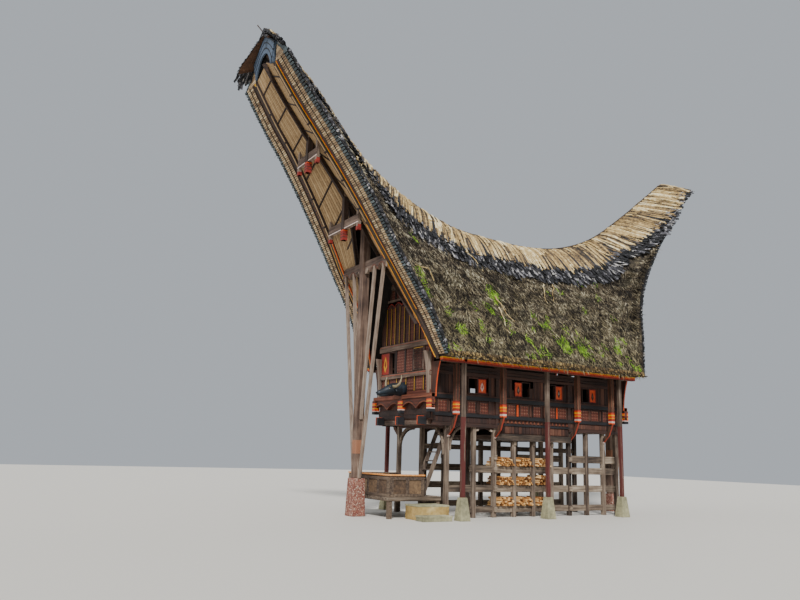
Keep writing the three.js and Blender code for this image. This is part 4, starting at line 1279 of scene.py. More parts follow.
# Hanging posts and eave beams: brown hardwood, sheltered, with worn red-brown stain
HANGING_WOOD = Finish(
    "sheltered_hardwood",
    ((0.0, "#140d09"), (0.3, "#33211a"), (0.55, "#523726"), (0.8, "#70503a"), (1.0, "#947760")),
    Grain.ALONG_Z, tone_share=0.3, grain_share=0.6, weather_share=0.3, bump=0.4,
)
# King posts under the horns, dark weathered wood
KING_WOOD = Finish(
    "king_post_wood", ((0.0, "#16100e"), (0.4, "#33261f"), (0.7, "#513f35"), (1.0, "#756357")),
    Grain.ALONG_Z, tone_share=0.3, grain_share=0.5, bump=0.4,
)
# Panels let into the railing: dry tan board
PANEL_TAN = Finish(
    "railing_panel", ((0.0, "#271c15"), (0.35, "#503d2d"), (0.7, "#745b41"), (1.0, "#9d8261")),
    scale=1.4, tone_share=0.5, grain_share=0.5, weather_share=0.4, bump=0.3,
)
# Orange-red paint on the brace edges, sun-faded
BRACE_PAINT = Finish(
    "brace_edge_paint", ((0.0, "#54160c"), (0.45, "#962f17"), (0.8, "#bd4925"), (1.0, "#dc8059")),
    roughness=0.55, bump=0.1, tone_share=0.3, grain_share=0.45,
)
# Great posts under the horns: one trunk each, red-brown and cracked, with a rubbed band at hand height
GREAT_WOOD = PaintedToHeight(
    "great_post_trunk",
    ((0.0, "#1b1310"), (0.25, "#3c2b23"), (0.5, "#604b3e"), (0.75, "#816b5b"), (1.0, "#a59283")),
    Grain.ALONG_Z, tone_share=0.3, grain_share=0.6, weather_share=0.4, bump=0.6, depth_mm=9.0,
    coat="#936246", start=2.05, upto=2.5, worn=1.0,
)
# Eave columns: dark red oil paint on the lower length, worn to bare grey wood
RED_COLUMN = PaintedToHeight(
    "painted_column",
    ((0.0, "#17100d"), (0.3, "#382a22"), (0.55, "#5b4b3f"), (0.8, "#7c6c5d"), (1.0, "#a39484")),
    Grain.ALONG_Z, tone_share=0.3, grain_share=0.55, weather_share=0.35, bump=0.4, coat="#551c19", upto=3.35,
    worn=0.9,
)
# Pedestals faced with washed river pebbles in grey mortar
PEBBLES = Pebbled(
    "pebbled_render", ((0.0, "#2f1d19"), (0.35, "#57352d"), (0.65, "#7a5548"), (1.0, "#9a7d6d")),
    tone_share=0.2, grain_share=0.5, weather_share=0.5, roughness=0.9, bump=0.5, depth_mm=6.0,
)


# Past any horn: a line with this as its upper end runs right to the tip
TO_THE_TIP = 99.0


@dataclass(frozen=True)
class Rim:
    """The end face of the thatch along one rake, read by a share from its inner to its outer side."""

    form: RoofForm
    end: End
    side: Side

    def line(
        self, share: float, low: float, high: float = TO_THE_TIP, shift: float = 0.0
    ) -> tuple[np.ndarray, np.ndarray]:
        """Sample a line down the rim.

        Args:
            share: Where across the rim, from 0 inside to 1 outside.
            low: Height of its lower end.
            high: Height of its upper end.
            shift: Metres outward from that share.

        Returns:
            The points from the tip down and the outward normals there.
        """
        y = self.form.rake(self.end, low)
        y = y[self.form.low(y) <= high]
        inner, outer, z = self.form.inner(y), self.form.outer(y), self.form.low(y)
        points = np.stack([self.side.value * (inner + (outer - inner) * share + shift), y, z], axis=1)
        run = unit_of(np.stack([np.zeros_like(y), np.gradient(y), np.gradient(z)], axis=1))
        normals = self.end.value * np.stack([run[:, 0], -run[:, 2], run[:, 1]], axis=1)
        return points, normals

    def board(
        self, draft: Draft, share: tuple[float, float], proud: float, low: float = 5.4,
        high: float = TO_THE_TIP, tone: float | None = None, sink: float = 0.02,
        shift: tuple[float, float] = (0.0, 0.0), drop: float = 0.0,
    ) -> None:
        """Add a board that lies on the rim between two shares and follows the rake.

        Args:
            draft: The mesh that gets it.
            share: Its inner and outer edge across the rim.
            proud: How far it stands off the rim.
            low: Height of its lower end.
            high: Height of its upper end.
            tone: Its tone.
            sink: How far it reaches into the rim.
            shift: Metres outward from the two shares.
            drop: How far under the rim it lies, where it is on the barge board.
        """
        a, normals = self.line(share[0], low, high, shift[0])
        b, _ = self.line(share[1], low, high, shift[1])
        a[:, 2] -= drop
        b[:, 2] -= drop
        rings = [
            [
                a[k] - normals[k] * sink, b[k] - normals[k] * sink, b[k] + normals[k] * proud,
                a[k] + normals[k] * proud,
            ]
            for k in range(len(a))
        ]
        draft.loft(rings, tone)

    def row(
        self, guide: Guide, share: tuple[float, float], pitch: float, thickness: float, proud: float,
        low: float = 5.4,
    ) -> None:
        """Add a path for units that lie across the rim between two shares.

        Args:
            guide: The guide that gets the path.
            share: Inner and outer end of a unit across the rim.
            pitch: Width of a unit.
            thickness: Its thickness.
            proud: How far its middle stands off the rim.
            low: Height of the path's lower end.
        """
        a, normals = self.line(share[0], low)
        b, _ = self.line(share[1], low)
        size = np.stack([np.abs(b - a)[:, 0], np.full(len(a), pitch), np.full(len(a), thickness)], axis=1)
        guide.path((a + b) / 2 + normals * proud, normals, np.array([self.side.value, 0.0, 0.0]), size)


@dataclass
class ThatchSlopes:
    """The two shaggy slopes: a lumpy closed shell each, with tufts, ferns and loose stems on it."""

    form: RoofForm
    columns: int = 180
    rows: int = 44
    lumps: Table = ((0.9, 0.05), (2.6, 0.04), (7.0, 0.035))
    tufts: float = 560.0
    ferns: float = 1500.0
    fern_spots: tuple[Point, ...] = (
        (-6.03, 0.89, 0.16), (-5.92, 0.93, 0.14), (-5.0, 0.84, 0.12), (-4.5, 0.9, 0.15), (-2.98, 0.77, 0.12),
        (-2.57, 0.68, 0.22), (-1.6, 0.9, 0.12), (-0.65, 0.81, 0.13), (0.27, 0.91, 0.24), (1.08, 0.93, 0.2),
        (2.91, 0.9, 0.13), (3.4, 0.4, 0.14),
    )
    sprigs: int = 60
    fern_length: float = 0.17
    fern_lift: float = 0.04
    tuft_length: float = 0.27
    sunk: float = 0.05
    fall_off: float = 0.9
    stems: int = 9
    seed: int = 11

    def grid(self) -> tuple[np.ndarray, np.ndarray, np.ndarray]:
        """Sample the right slope as rows of points with their normals and fall directions.

        Returns:
            The points, normals and fall directions, each indexed along the house and down the slope.
        """
        y = np.linspace(self.form.front_end, self.form.rear_end, self.columns)
        corners = np.array([self.form.front_corner, self.form.rear_corner])
        y = np.sort(np.concatenate([y, corners - 0.001, corners + 0.001]))
        u = np.linspace(0.0, 1.0, self.rows) ** self.fall_off
        ys, us = np.meshgrid(y, u, indexing="ij")
        x = self.form.outer(ys) * us
        points = np.stack([x, ys, self.form.face(ys, x)], axis=-1)
        fall = unit_of(np.gradient(points, axis=1))
        along = np.gradient(points, axis=0)
        normals = unit_of(np.cross(fall, along))
        lumps = np.array([
            [sum(depth * noise.noise(Vector(p) * pitch) for pitch, depth in self.lumps) for p in row]
            for row in points
        ])
        ends = np.clip(np.minimum(ys - y[0], y[-1] - ys) / 0.3, 0, 1)
        rim = np.clip((1 - us) / 0.08, 0.25, 1)
        broad = self.form.lump(ys, x) - self.sunk * ends * np.clip(us / 0.3, 0, 1)
        return points + normals * (lumps * ends * rim + broad)[..., None], normals, fall

    def shell(self, grid: np.ndarray, side: Side) -> Draft:
        """Close the displaced face into a body over the attic.

        Args:
            grid: Points of one slope.
            side: Which slope.

        Returns:
            The body.
        """
        made = Draft()
        rings = []
        for row in grid:
            y = row[0][1]
            inner, low, attic = float(self.form.inner(y)), float(self.form.low(y)), float(self.form.attic(y))
            under = [(inner * side.value, y, low), (0.09 * side.value, y, attic), (0.0, y, attic)]
            rings.append([tuple(p) for p in row] + under)
        # Tone 0.3 keeps the shell darker than most tufts on it: painted shade in the gaps between the tufts
        made.loft(rings, 0.3)
        return made

    def build(self) -> None:
        """Make both slopes and dress them."""
        points, normals, fall = self.grid()
        for side in Side:
            flip = np.array([side.value, 1.0, 1.0])
            body = self.shell(points * flip, side)
            node = f"{side.name.lower()}_roof_thatch"
            made = piece(f"{node}_shell", body.mesh(f"{node}_shell"), THATCH, (node,))
            made.data.materials.append(THATCH_LINING.material())
            ring = self.rows + 3
            smooth_sides(made)
            for polygon in made.data.polygons:
                polygon.material_index = int(polygon.index % ring >= self.rows - 1)
            for name, finish, cover, density, length, swirl, lift in (
                ("tufts", THATCH, self.cover(points), self.tufts, self.tuft_length, 0.9, 0.0),
                ("ferns", FERN, self.patches(points), self.ferns, self.fern_length, 3.1, self.fern_lift),
            ):
                guide = self.ground(
                    (points + normals * lift) * flip, normals * flip, fall * flip, cover, length
                )
                laying = Laying(
                    Spread.OVER_FACES, density=density, turn=(0.0, -0.04, 0.0),
                    turn_spread=(0.5, 0.16, swirl), size_spread=0.35, seed=self.seed + side.value,
                )
                laying.lay(f"{side.name.lower()}_thatch_{name}", guide, blade_unit(), finish, "thatch")
        self.loose_stems(points, normals)
        self.eave_fibres()

    def eave_fibres(self) -> None:
        """Hang short broken fibres from the lowest course along both eaves."""
        guide = Guide()
        y = np.linspace(self.form.front_corner, self.form.rear_corner, 60)
        for side in Side:
            for inset, rise in ((0.02, 0.02), (0.0, 0.07), (-0.01, 0.12)):
                edge = np.stack(
                    [side.value * (self.form.outer(y) - inset), y, np.full_like(y, self.form.eave + rise)],
                    axis=1,
                )
                run = unit_of(np.array([side.value * 0.35, 0.0, -1.0]))
                guide.path(edge, np.array([side.value, 0.0, 0.3]), run, np.array([0.085, 0.035, 0.014]))
        laying = Laying(
            Spread.ALONG_EDGES, pitch=0.03, turn_spread=(0.4, 0.3, 0.4), size_spread=0.45, seed=51
        )
        laying.lay("eave_fibres", guide.mesh("eave_fibre_paths"), strip_unit(0.05, 1), STALK, "thatch")

    def cover(self, points: np.ndarray) -> np.ndarray:
        """Full cover from the cap's fringe down to a hand above the eave, and none under the cap.

        Args:
            points: Points of the slope.

        Returns:
            Share of the full density at each point.
        """
        y = points[..., 1]
        bare = points[..., 0] < self.form.cap_half(y) * 1.22
        horn = (y < self.form.front_corner) | (y > self.form.rear_corner)
        bare[:, -1:] |= ~horn[:, -1:]
        bare[:, -4:] |= horn[:, -4:]
        return 1.0 - bare

    def patches(self, points: np.ndarray) -> np.ndarray:
        """Grow round patches of fern, each by a place along the house, a share of the slope and a radius.

        Args:
            points: Points of the slope.

        Returns:
            Share of the full density at each point.
        """
        rng = random.Random(self.seed + 4)
        grown = np.zeros(points.shape[:2])
        strays = [(rng.uniform(-6.0, 4.0), 1 - 0.7 * rng.random() ** 1.5, 0.07) for _ in range(self.sprigs)]
        for y, share, radius in (*self.fern_spots, *strays):
            i = int(np.argmin(np.abs(points[:, 0, 1] - y)))
            j = int(share ** (1 / self.fall_off) * (self.rows - 1))
            away = np.linalg.norm(points - points[i, j], axis=-1)
            grown = np.maximum(grown, np.clip(2 - 2 * away / radius, 0.0, min(1.0, 5 * radius)))
        return self.cover(points) * grown

    def ground(
        self, points: np.ndarray, normals: np.ndarray, fall: np.ndarray, cover: np.ndarray, length: float
    ) -> bpy.types.Mesh:
        """Turn the slope's grid into a guide for scattering.

        Args:
            points: The grid.
            normals: The way the tufts stand.
            fall: The way they lie.
            cover: Share of the full density at each point.
            length: Length of a tuft in metres.

        Returns:
            The guide mesh.
        """
        across, down = points.shape[:2]
        guide = Guide()
        guide.points = [tuple(p) for p in points.reshape(-1, 3)]
        guide.out = [tuple(p) for p in normals.reshape(-1, 3)]
        guide.run = [tuple(p) for p in fall.reshape(-1, 3)]
        guide.size = [(length, length, length)] * len(guide.points)
        guide.cover = cover.reshape(-1).tolist()
        guide.faces = [
            (i * down + j, (i + 1) * down + j, (i + 1) * down + j + 1, i * down + j + 1)
            for i in range(across - 1)
            for j in range(down - 1)
        ]
        return guide.mesh("thatch_ground")

    def loose_stems(self, points: np.ndarray, normals: np.ndarray) -> None:
        """Lay a few long pale stems that have slipped down the slopes.

        Args:
            points: Points of the slope.
            normals: The way out of the slope at each.
        """
        made = Draft(rng=random.Random(self.seed))
        across, down = points.shape[:2]
        for k in range(self.stems * 2):
            side = 1 if k % 2 else -1
            i, j = made.rng.randrange(20, across - 60), made.rng.randrange(12, down - 12)
            drift = made.rng.uniform(-1.2, 1.2)
            path = []
            for step in range(7):
                a, b = int(i + drift * step), j + step
                lift = points[a, b] + normals[a, b] * (0.09 + 0.05 * math.sin(step))
                path.append((lift[0] * side, lift[1], lift[2]))
            made.tube(path, [0.022 - 0.002 * s for s in range(7)], 5, made.rng.uniform(0.6, 1.0))
        piece("loose_stems", made.mesh("loose_stems"), CULMS)


@dataclass
class RoofRims:
    """Everything that follows the rakes: barge boards, painted lines, reed rows and slate-grey flats."""

    form: RoofForm
    reed_pitch: float = 0.075
    flat_pitch: float = 0.11
    trims_stop: float = 6.9
    inner_line_top: float = 9.9
    foot: float = 5.4
    barge_depth: float = 0.12
    cleat_step: int = 9

    def build(self) -> None:
        """Dress the four rakes."""
        reeds, flats, ragged = Guide(), Guide(), Guide()
        boards, yellow, orange, black, pale = Draft(), Draft(), Draft(), Draft(), Draft()
        for end in End:
            for side in Side:
                rim = Rim(self.form, end, side)
                rim.row(reeds, (0.35, 0.555), self.reed_pitch * 0.88, 0.055, 0.035)
                rim.row(reeds, (0.6, 0.79), self.reed_pitch * 0.88, 0.055, 0.045)
                rim.row(flats, (0.79, 0.985), self.flat_pitch * 0.62, 0.03, 0.05)
                # The black board under the reeds and flats, and the black strip between the two reed rows,
                # are painted shade for the gaps behind and between the reeds
                for draft, share, proud, tone in (
                    (black, (0.335, 0.97), 0.014, 0.1), (boards, (0.19, 0.335), 0.035, 0.5),
                    (boards, (0.31, 0.34), 0.06, 0.2), (black, (0.556, 0.592), 0.07, 0.0),
                ):
                    rim.board(draft, share, proud, tone=tone)
                rim.board(yellow, (0.0, 0.0), 0.05, self.trims_stop, tone=0.8, shift=(0.145, 0.172))
                rim.board(orange, (0.0, 0.0), 0.045, self.trims_stop, tone=0.3, shift=(0.172, 0.184))
                self.ragged_edge(ragged, rim)
                self.barge(rim, yellow, orange, pale, boards)
        straight = Laying(
            Spread.ALONG_EDGES, pitch=self.reed_pitch, turn_spread=(0.12, 0.02, 0.02), size_spread=0.05,
            seed=4,
        )
        lapped = Laying(
            Spread.ALONG_EDGES, pitch=self.flat_pitch, turn=(0.25, 0.0, 0.0), turn_spread=(0.1, 0.05, 0.05),
            size_spread=0.08, seed=9,
        )
        broken = Laying(
            Spread.ALONG_EDGES, pitch=0.045, turn=(0.0, 0.1, 0.0), turn_spread=(0.4, 0.22, 0.4),
            size_spread=0.45, seed=21,
        )
        centred = strip_unit(0.0, 2, -0.5)
        for name, laying, guide, unit, finish in (
            ("rim_reeds", straight, reeds, reed_unit(), REED),
            ("rim_flats", lapped, flats, centred, SLATE_FLAT),
            ("rim_ragged_edge", broken, ragged, strip_unit(0.1, 2), PALM_FIBRE_AND_SHADE),
        ):
            laying.lay(name, guide.mesh(f"{name}_path"), unit, finish, "thatch")
        for end in End:
            for side in Side:
                softened(f"{side.name.lower()}_{end.name.lower()}_barge_board", DARK_WOOD, 0.006)
        for name, draft, finish in (
            ("rim_boards", boards, DARK_WOOD), ("rim_yellow_lines", yellow, YELLOW_PAINT),
            ("rim_orange_lines", orange, ORANGE_PAINT), ("rim_seams", black, PALM_FIBRE_AND_SHADE),
            ("rim_pale_boards", pale, PLAITED),
        ):
            piece(name, draft.mesh(name), finish)

    def ragged_edge(self, guide: Guide, rim: Rim) -> None:
        """Add the paths of the broken stalks along the outer corner of the rim and of the slope.

        Args:
            guide: The guide that gets the paths.
            rim: Which rim.
        """
        points, normals = rim.line(0.965, 5.4)
        run = unit_of(np.array([rim.side.value * 0.9, 0.0, 0.15]) + normals * 0.25)
        guide.path(points, normals, run, np.array([0.055, 0.045, 0.02]))
        if rim.end is End.FRONT:
            points, normals = rim.line(1.0, 5.6)
            run = unit_of(np.array([rim.side.value * 0.7, 0.0, -0.2]) + normals * 0.5)
            guide.path(
                points - normals * 0.1, np.array([rim.side.value, 0.0, 0.3]), run, np.array([0.1, 0.06, 0.02])
            )

    def barge(self, rim: Rim, yellow: Draft, orange: Draft, pale: Draft, boards: Draft) -> None:
        """Dress the barge board's underside: pale planks above, an orange-edged board lower down.

        Args:
            rim: Which rim.
            yellow: The mesh of its yellow lines.
            orange: The mesh of its orange lines.
            pale: The mesh of the pale planks.
            boards: The mesh of the dark boards.
        """
        split, foot, tip = self.inner_line_top, self.foot, TO_THE_TIP
        for draft, proud, low, high, tone, sink, shift in (
            (pale, 0.008, split, tip, 0.35, 0.004, (-0.02, 0.06)),
            (boards, 0.012, split, tip, 0.1, 0.01, (-0.052, -0.022)),
            (boards, 0.012, split, tip, 0.1, 0.01, (0.062, 0.132)),
            (orange, 0.01, foot, split, 0.5, 0.05, (-0.062, -0.035)),
            (yellow, 0.012, foot, split, 0.8, 0.01, (-0.035, -0.02)),
        ):
            rim.board(draft, (0.0, 0.0), proud, low, high, tone, sink, shift, self.barge_depth)
        inner, normals = rim.line(0.0, split, shift=-0.052)
        outer, _ = rim.line(0.0, split, shift=0.132)
        for k in range(self.cleat_step, len(inner) - 1, self.cleat_step):
            lift = normals[k] * 0.02 - np.array([0.0, 0.0, self.barge_depth])
            boards.bar(tuple(inner[k] + lift), tuple(outer[k] + lift), 0.06, 0.04, 0.15)


@dataclass
class RidgeCap:
    """Split culms laid across the ridge, with rows of black leaf hanging out under their ends."""

    form: RoofForm
    spacing: float = 0.1
    width: float = 0.115
    crown: float = 0.026
    culm_wall: float = 0.012
    doubled: float = 0.55
    overhang: float = 0.28
    overhang_rise: float = 0.45
    thinning: float = 0.06
    leaf_length: float = 0.3
    leaf_rows: Table = ((0.88, 0.075), (0.97, 0.065), (1.06, 0.055), (1.14, 0.05), (1.22, 0.045))
    seed: int = 5

    def slope_of_ridge(self, y: np.ndarray) -> np.ndarray:
        """Angle of the skyline over the level."""
        return np.arctan2(self.form.top(y + 0.1) - self.form.top(y - 0.1), 0.2)

    def lean(self, y0: float, x: float) -> float:
        """How far along the house a culm has moved where it is x from the ridge."""
        angle = float(self.slope_of_ridge(y0))
        return math.sin(angle) * math.cos(angle) * float(self.form.top(y0) - self.form.face(y0, x))

    def spot(self, y0: float, x: float, lift: float, stray: float = 0.0) -> Point:
        """Find a point on the cap for a culm that leaves the ridge at y0.

        Args:
            y0: Where the culm leaves the ridge.
            x: Distance from the ridge plane.
            lift: Height over the cap.
            stray: Metres along the house, off its line.

        Returns:
            The point.
        """
        y = y0 + self.lean(y0, x) + stray
        held = min(max(y, self.form.front_end), self.form.rear_end)
        reach = min(abs(y - held), self.overhang)
        thickness = self.form.cap_thickness - self.thinning * min(1.0, x / float(self.form.cap_half(held)))
        z = float(self.form.face(held, x)) + thickness + lift + self.overhang_rise * reach
        return x, held + math.copysign(reach, y - held), z

    def stations(self) -> np.ndarray:
        """The y values where culms leave the ridge, evenly along its curve.

        Returns:
            The y values.
        """
        y = np.linspace(self.form.front_end - 0.12, self.form.rear_end + 0.12, 500)
        length = np.concatenate([[0], np.cumsum(np.hypot(np.diff(y), np.diff(self.form.top(y))))])
        return np.interp(np.arange(0, length[-1], self.spacing), length, y)

    def culm(
        self, made: Draft, y0: float, side: Side, reach: tuple[float, float], lift: float, skew: float
    ) -> None:
        """Add one split culm over the cap, between two shares of the cap's half width.

        Args:
            made: The mesh that gets it.
            y0: Where it leaves the ridge.
            side: Which side it lies on.
            reach: Shares of the half width where it starts and ends.
            lift: Height over the cap.
            skew: Metres that it strays along the house.
        """
        held = min(max(y0, self.form.front_end), self.form.rear_end)
        half = float(self.form.cap_half(held))
        steps = 5
        rings = []
        wide = self.width * made.rng.uniform(0.55, 1.0)
        for k in range(steps + 1):
            share = reach[0] + (reach[1] - reach[0]) * k / steps
            x = half * share
            stray = skew * (k / steps - 0.3)
            centre = Vector(self.spot(y0, max(x, 0.0), lift, stray))
            ahead = Vector(self.spot(y0, max(x, 0.0) + 0.05, lift, stray))
            run = (ahead - centre).normalized()
            sideways = Vector((0, 1, math.tan(float(self.slope_of_ridge(held))))).normalized()
            sideways = (sideways - run * sideways.dot(run)).normalized()
            up = sideways.cross(run)
            up = up if up.z > 0 else -up
            left, right = centre - sideways * wide / 2, centre + sideways * wide / 2
            under = up * self.culm_wall
            ring = [left, centre + up * self.crown, right, right - under, left - under]
            rings.append([(p.x * side.value, p.y, p.z) for p in ring])
        made.loft(rings)

    def build(self) -> None:
        """Lay the culms and hang the leaves."""
        # The cap under the culms is dressed black: painted shade in the gaps between the culms
        softened("ridge_cap", PALM_FIBRE_AND_SHADE, 0.02)
        made = Draft(rng=random.Random(self.seed))
        for side in Side:
            for y0 in self.stations():
                jitter = made.rng.uniform(-0.02, 0.02)
                end = made.rng.uniform(0.97, 1.1)
                self.culm(
                    made, y0 + jitter, side, (0.0, end), made.rng.uniform(0.004, 0.02),
                    made.rng.gauss(0, 0.05),
                )
                if made.rng.random() < self.doubled:
                    start = made.rng.choice((0.0, 0.0, made.rng.uniform(0.15, 0.5)))
                    stop = min(1.14, start + made.rng.uniform(0.45, 0.9))
                    lift = made.rng.uniform(0.028, 0.05)
                    self.culm(
                        made, y0 + made.rng.uniform(-0.05, 0.05), side, (start, stop), lift,
                        made.rng.gauss(0, 0.12),
                    )
        piece("ridge_culms", made.mesh("ridge_culms"), CULMS)
        self.fringe()
        self.skyline()

    def fringe(self) -> None:
        """Hang rows of black leaf from under the culms' ends."""
        guide = Guide()
        y0 = np.linspace(self.form.front_end + 0.05, self.form.rear_end - 0.05, 220)
        for side in Side:
            for share, lift in self.leaf_rows:
                rows = [[], [], [], []]
                for y in y0:
                    horn = min(1.0, max(0.0, (float(y) - 4.6) / 2.5))
                    x = float(self.form.cap_half(y)) * (share - 0.07 * horn)
                    x = min(x, float(self.form.outer(y)) * 0.9)
                    here = np.array(self.spot(float(y), x, lift - 0.1))
                    ahead = np.array(self.spot(float(y), x + 0.06, lift - 0.1))
                    run = unit_of(ahead - here)
                    ridge = np.array([0.0, 1.0, math.tan(float(self.slope_of_ridge(y)))])
                    up = np.cross(ridge, run)
                    up = unit_of(up if up[2] > 0 else -up)
                    flip = np.array([side.value, 1.0, 1.0])
                    long = self.leaf_length - 0.1 * horn + 0.14 * noise.noise(
                        Vector((share * 9, y * 1.3, 0.0))
                    )
                    for store, row in zip(
                        rows, (here * flip, up * flip, run * flip, np.array([long, 0.07, 0.012]))
                    ):
                        store.append(row)
                guide.path(*(np.array(row) for row in rows))
        laying = Laying(
            Spread.ALONG_EDGES, pitch=0.045, turn=(0.0, -0.06, 0.0), turn_spread=(0.5, 0.2, 0.4),
            size_spread=0.35, seed=13,
        )
        laying.lay("cap_fringe", guide.mesh("cap_fringe_path"), strip_unit(0.06, 3), PALM_FIBRE_AND_SHADE, "bamboo")

    def skyline(self) -> None:
        """Bind the culms along the ridge with a dark pole."""
        made = Draft()
        y = self.stations()[::4]
        path = [(0.0, float(v), self.spot(float(v), 0.0, 0.03)[2]) for v in y]
        made.tube(path, [0.035] * len(path), 6, 0.3)
        piece("ridge_pole", made.mesh("ridge_pole"), DARK_WOOD)


@dataclass
class HornLinings:
    """The plaited undersides of both horns: slats along the rake, cross battens and edge boards."""

    form: RoofForm
    slats: int = 13
    slat_depth: float = 0.014
    batten_spacing: float = 1.1
    lowest: float = 6.45
    sample: float = 0.12
    yoke_height: Table = ((-1, 9.2), (1, 10.1))

    def build(self) -> None:
        """Line both horns."""
        lining, boards = Draft(), Draft()
        for end in End:
            y = self.form.rake(end, self.lowest, self.sample)
            for k in range(self.slats):
                spread = [(k + 0.09) / self.slats, (k + 0.91) / self.slats]
                lining.loft(self.strip(y, end, spread[0], spread[1], 0.004, self.slat_depth))
            boards.loft(self.strip(y, end, -0.02, 0.035, 0.0, 0.05), 0.15)
            boards.loft(self.strip(y, end, 0.93, 1.0, 0.05, 0.12), 0.25)
            steps = max(1, int(self.batten_spacing / self.sample))
            yoke = dict(self.yoke_height)[end.value]
            for k in range(steps // 2, len(y) - 1, steps):
                if float(self.form.low(y[k])) < yoke + 0.7:
                    break
                pair = y[k : k + 1]
                ends = [self.form.soffit(pair, share) for share in (0.02, 0.98)]
                start, stop = ((float(x[0]), float(pair[0]), float(z[0]) - 0.03) for x, z in ends)
                boards.bar(start, stop, 0.06, 0.045, 0.15)
        for name, draft, finish in (("horn_slats", lining, PLAITED), ("horn_edge_boards", boards, DARK_WOOD)):
            piece(name, draft.mirrored().mesh(name), finish)
        for node in ("front_soffit", "rear_soffit"):
            softened(node, DARK_WOOD, 0.004)

    def strip(
        self, y: np.ndarray, end: End, share0: float, share1: float, below: float, depth: float
    ) -> list[list[Point]]:
        """Sweep a flat strip under the lining, between two shares from the rim to the centre.

        Args:
            y: Where along the house.
            end: Which horn.
            share0: Its outer edge.
            share1: Its inner edge.
            below: Distance of its top under the lining.
            depth: Its thickness.

        Returns:
            One ring of four points for each y.
        """
        low = self.form.low(y)
        run = unit_of(np.stack([np.zeros_like(y), np.gradient(y), np.gradient(low)], axis=1))
        down = end.value * np.stack([run[:, 0], -run[:, 2], run[:, 1]], axis=1)
        (xa, za), (xb, zb) = self.form.soffit(y, share0), self.form.soffit(y, share1)
        a, b = np.stack([xa, y, za], axis=1), np.stack([xb, y, zb], axis=1)
        return [
            [
                tuple(side[k] + down[k] * under)
                for side, under in ((a, below), (b, below), (b, below + depth), (a, below + depth))
            ]
            for k in range(len(y))
        ]


@dataclass
class Skin:
    """The drafts of one sub-assembly, one for each finish, made into pieces at the end."""

    name: str
    slot: str
    drafts: dict[Finish, Draft] = field(default_factory=dict)

    def __getitem__(self, finish: Finish) -> Draft:
        """The draft of a finish, started at its first use.

        Args:
            finish: Which finish.

        Returns:
            Its mesh under construction.
        """
        if finish not in self.drafts:
            self.drafts[finish] = Draft(rng=random.Random(len(self.drafts) * 13 + 5))
        return self.drafts[finish]

    def settle(
        self, stands_for: dict[Finish, Sequence[str]] | None = None, bevels: dict[Finish, float] | None = None
    ) -> None:
        """Make one piece of each draft.

        Args:
            stands_for: Nodes that the piece of a finish replaces.
            bevels: Width of the softened edges of a finish's piece.
        """
        for finish, draft in self.drafts.items():
            name = f"{self.name}_{finish.name}"
            replaced, bevel = (stands_for or {}).get(finish, ()), (bevels or {}).get(finish, 0.0)
            piece(name, draft.mesh(name), finish, replaced, bevel)


@dataclass(frozen=True)
class WallFace:
    """A wall's outer face, on which pieces are placed by a span across it and a span of heights."""

    plane: Plane
    at: float
    out: int

    def depth(self, proud: float, sink: float = 0.01) -> tuple[float, float]:
        """Both faces of a piece that stands proud of the wall and is let into it."""
        low, high = sorted((self.at - self.out * sink, self.at + self.out * proud))
        return low, high

    def slab(
        self, draft: Draft, across: Sequence[float], heights: Sequence[float], proud: float,
        tone: float | None = None, sink: float = 0.01,
    ) -> None:
        """Add a flat rectangular piece.

        Args:
            draft: The mesh that gets it.
            across: Its two ends on the wall's level axis.
            heights: Its lower and upper edge.
            proud: How far it stands off the wall.
            tone: Its tone.
            sink: How far it is let in.
        """
        if self.plane is Plane.GABLE:
            draft.box(across, self.depth(proud, sink), heights, tone)
        else:
            draft.box(self.depth(proud, sink), across, heights, tone)

    def plate(
        self, draft: Draft, outline: Sequence[tuple[float, float]], proud: float, tone: float | None = None
    ) -> None:
        """Add a flat piece of any outline, given as pairs of level axis and height."""
        draft.prism(outline, self.depth(proud), 1 if self.plane is Plane.GABLE else 0, tone)

    def frame(
        self, draft: Draft, across: Sequence[float], heights: Sequence[float], bar: float, proud: float
    ) -> None:
        """Add four bars round an opening or a panel.

        Args:
            draft: The mesh that gets them.
            across: The opening's two sides.
            heights: Its lower and upper edge.
            bar: Width of a bar.
            proud: How far the bars stand off the wall.
        """
        self.slab(draft, (across[0] - bar, across[0]), (heights[0] - bar, heights[1] + bar), proud)
        self.slab(draft, (across[1], across[1] + bar), (heights[0] - bar, heights[1] + bar), proud)
        self.slab(draft, across, (heights[0] - bar, heights[0]), proud)
        self.slab(draft, across, (heights[1], heights[1] + bar), proud)

    def leaf_motif(
        self, dark: Draft, pale: Draft, across: Sequence[float], heights: Sequence[float], proud: float
    ) -> None:
        """Add a plain pointed leaf with a pale heart, the common filling of a shutter.

        Args:
            dark: The mesh of the leaf.
            pale: The mesh of its heart.
            across: The two sides of the panel.
            heights: Its lower and upper edge.
            proud: How far the leaf stands off the wall.
        """
        middle, half = (across[0] + across[1]) / 2, (across[1] - across[0]) * 0.2
        low, high = heights
        tall = high - low
        for draft, share, lift in ((dark, 1.0, 0.0), (pale, 0.45, 0.003)):
            centre = low + tall * 0.5
            outline = [
                (middle, centre - tall * 0.4 * share), (middle + half * share, centre - tall * 0.12 * share),
                (middle + half * 0.6 * share, centre + tall * 0.18 * share),
                (middle, centre + tall * 0.36 * share),
                (middle - half * 0.6 * share, centre + tall * 0.18 * share),
                (middle - half * share, centre - tall * 0.12 * share),
            ]
            self.plate(draft, outline, proud + lift)


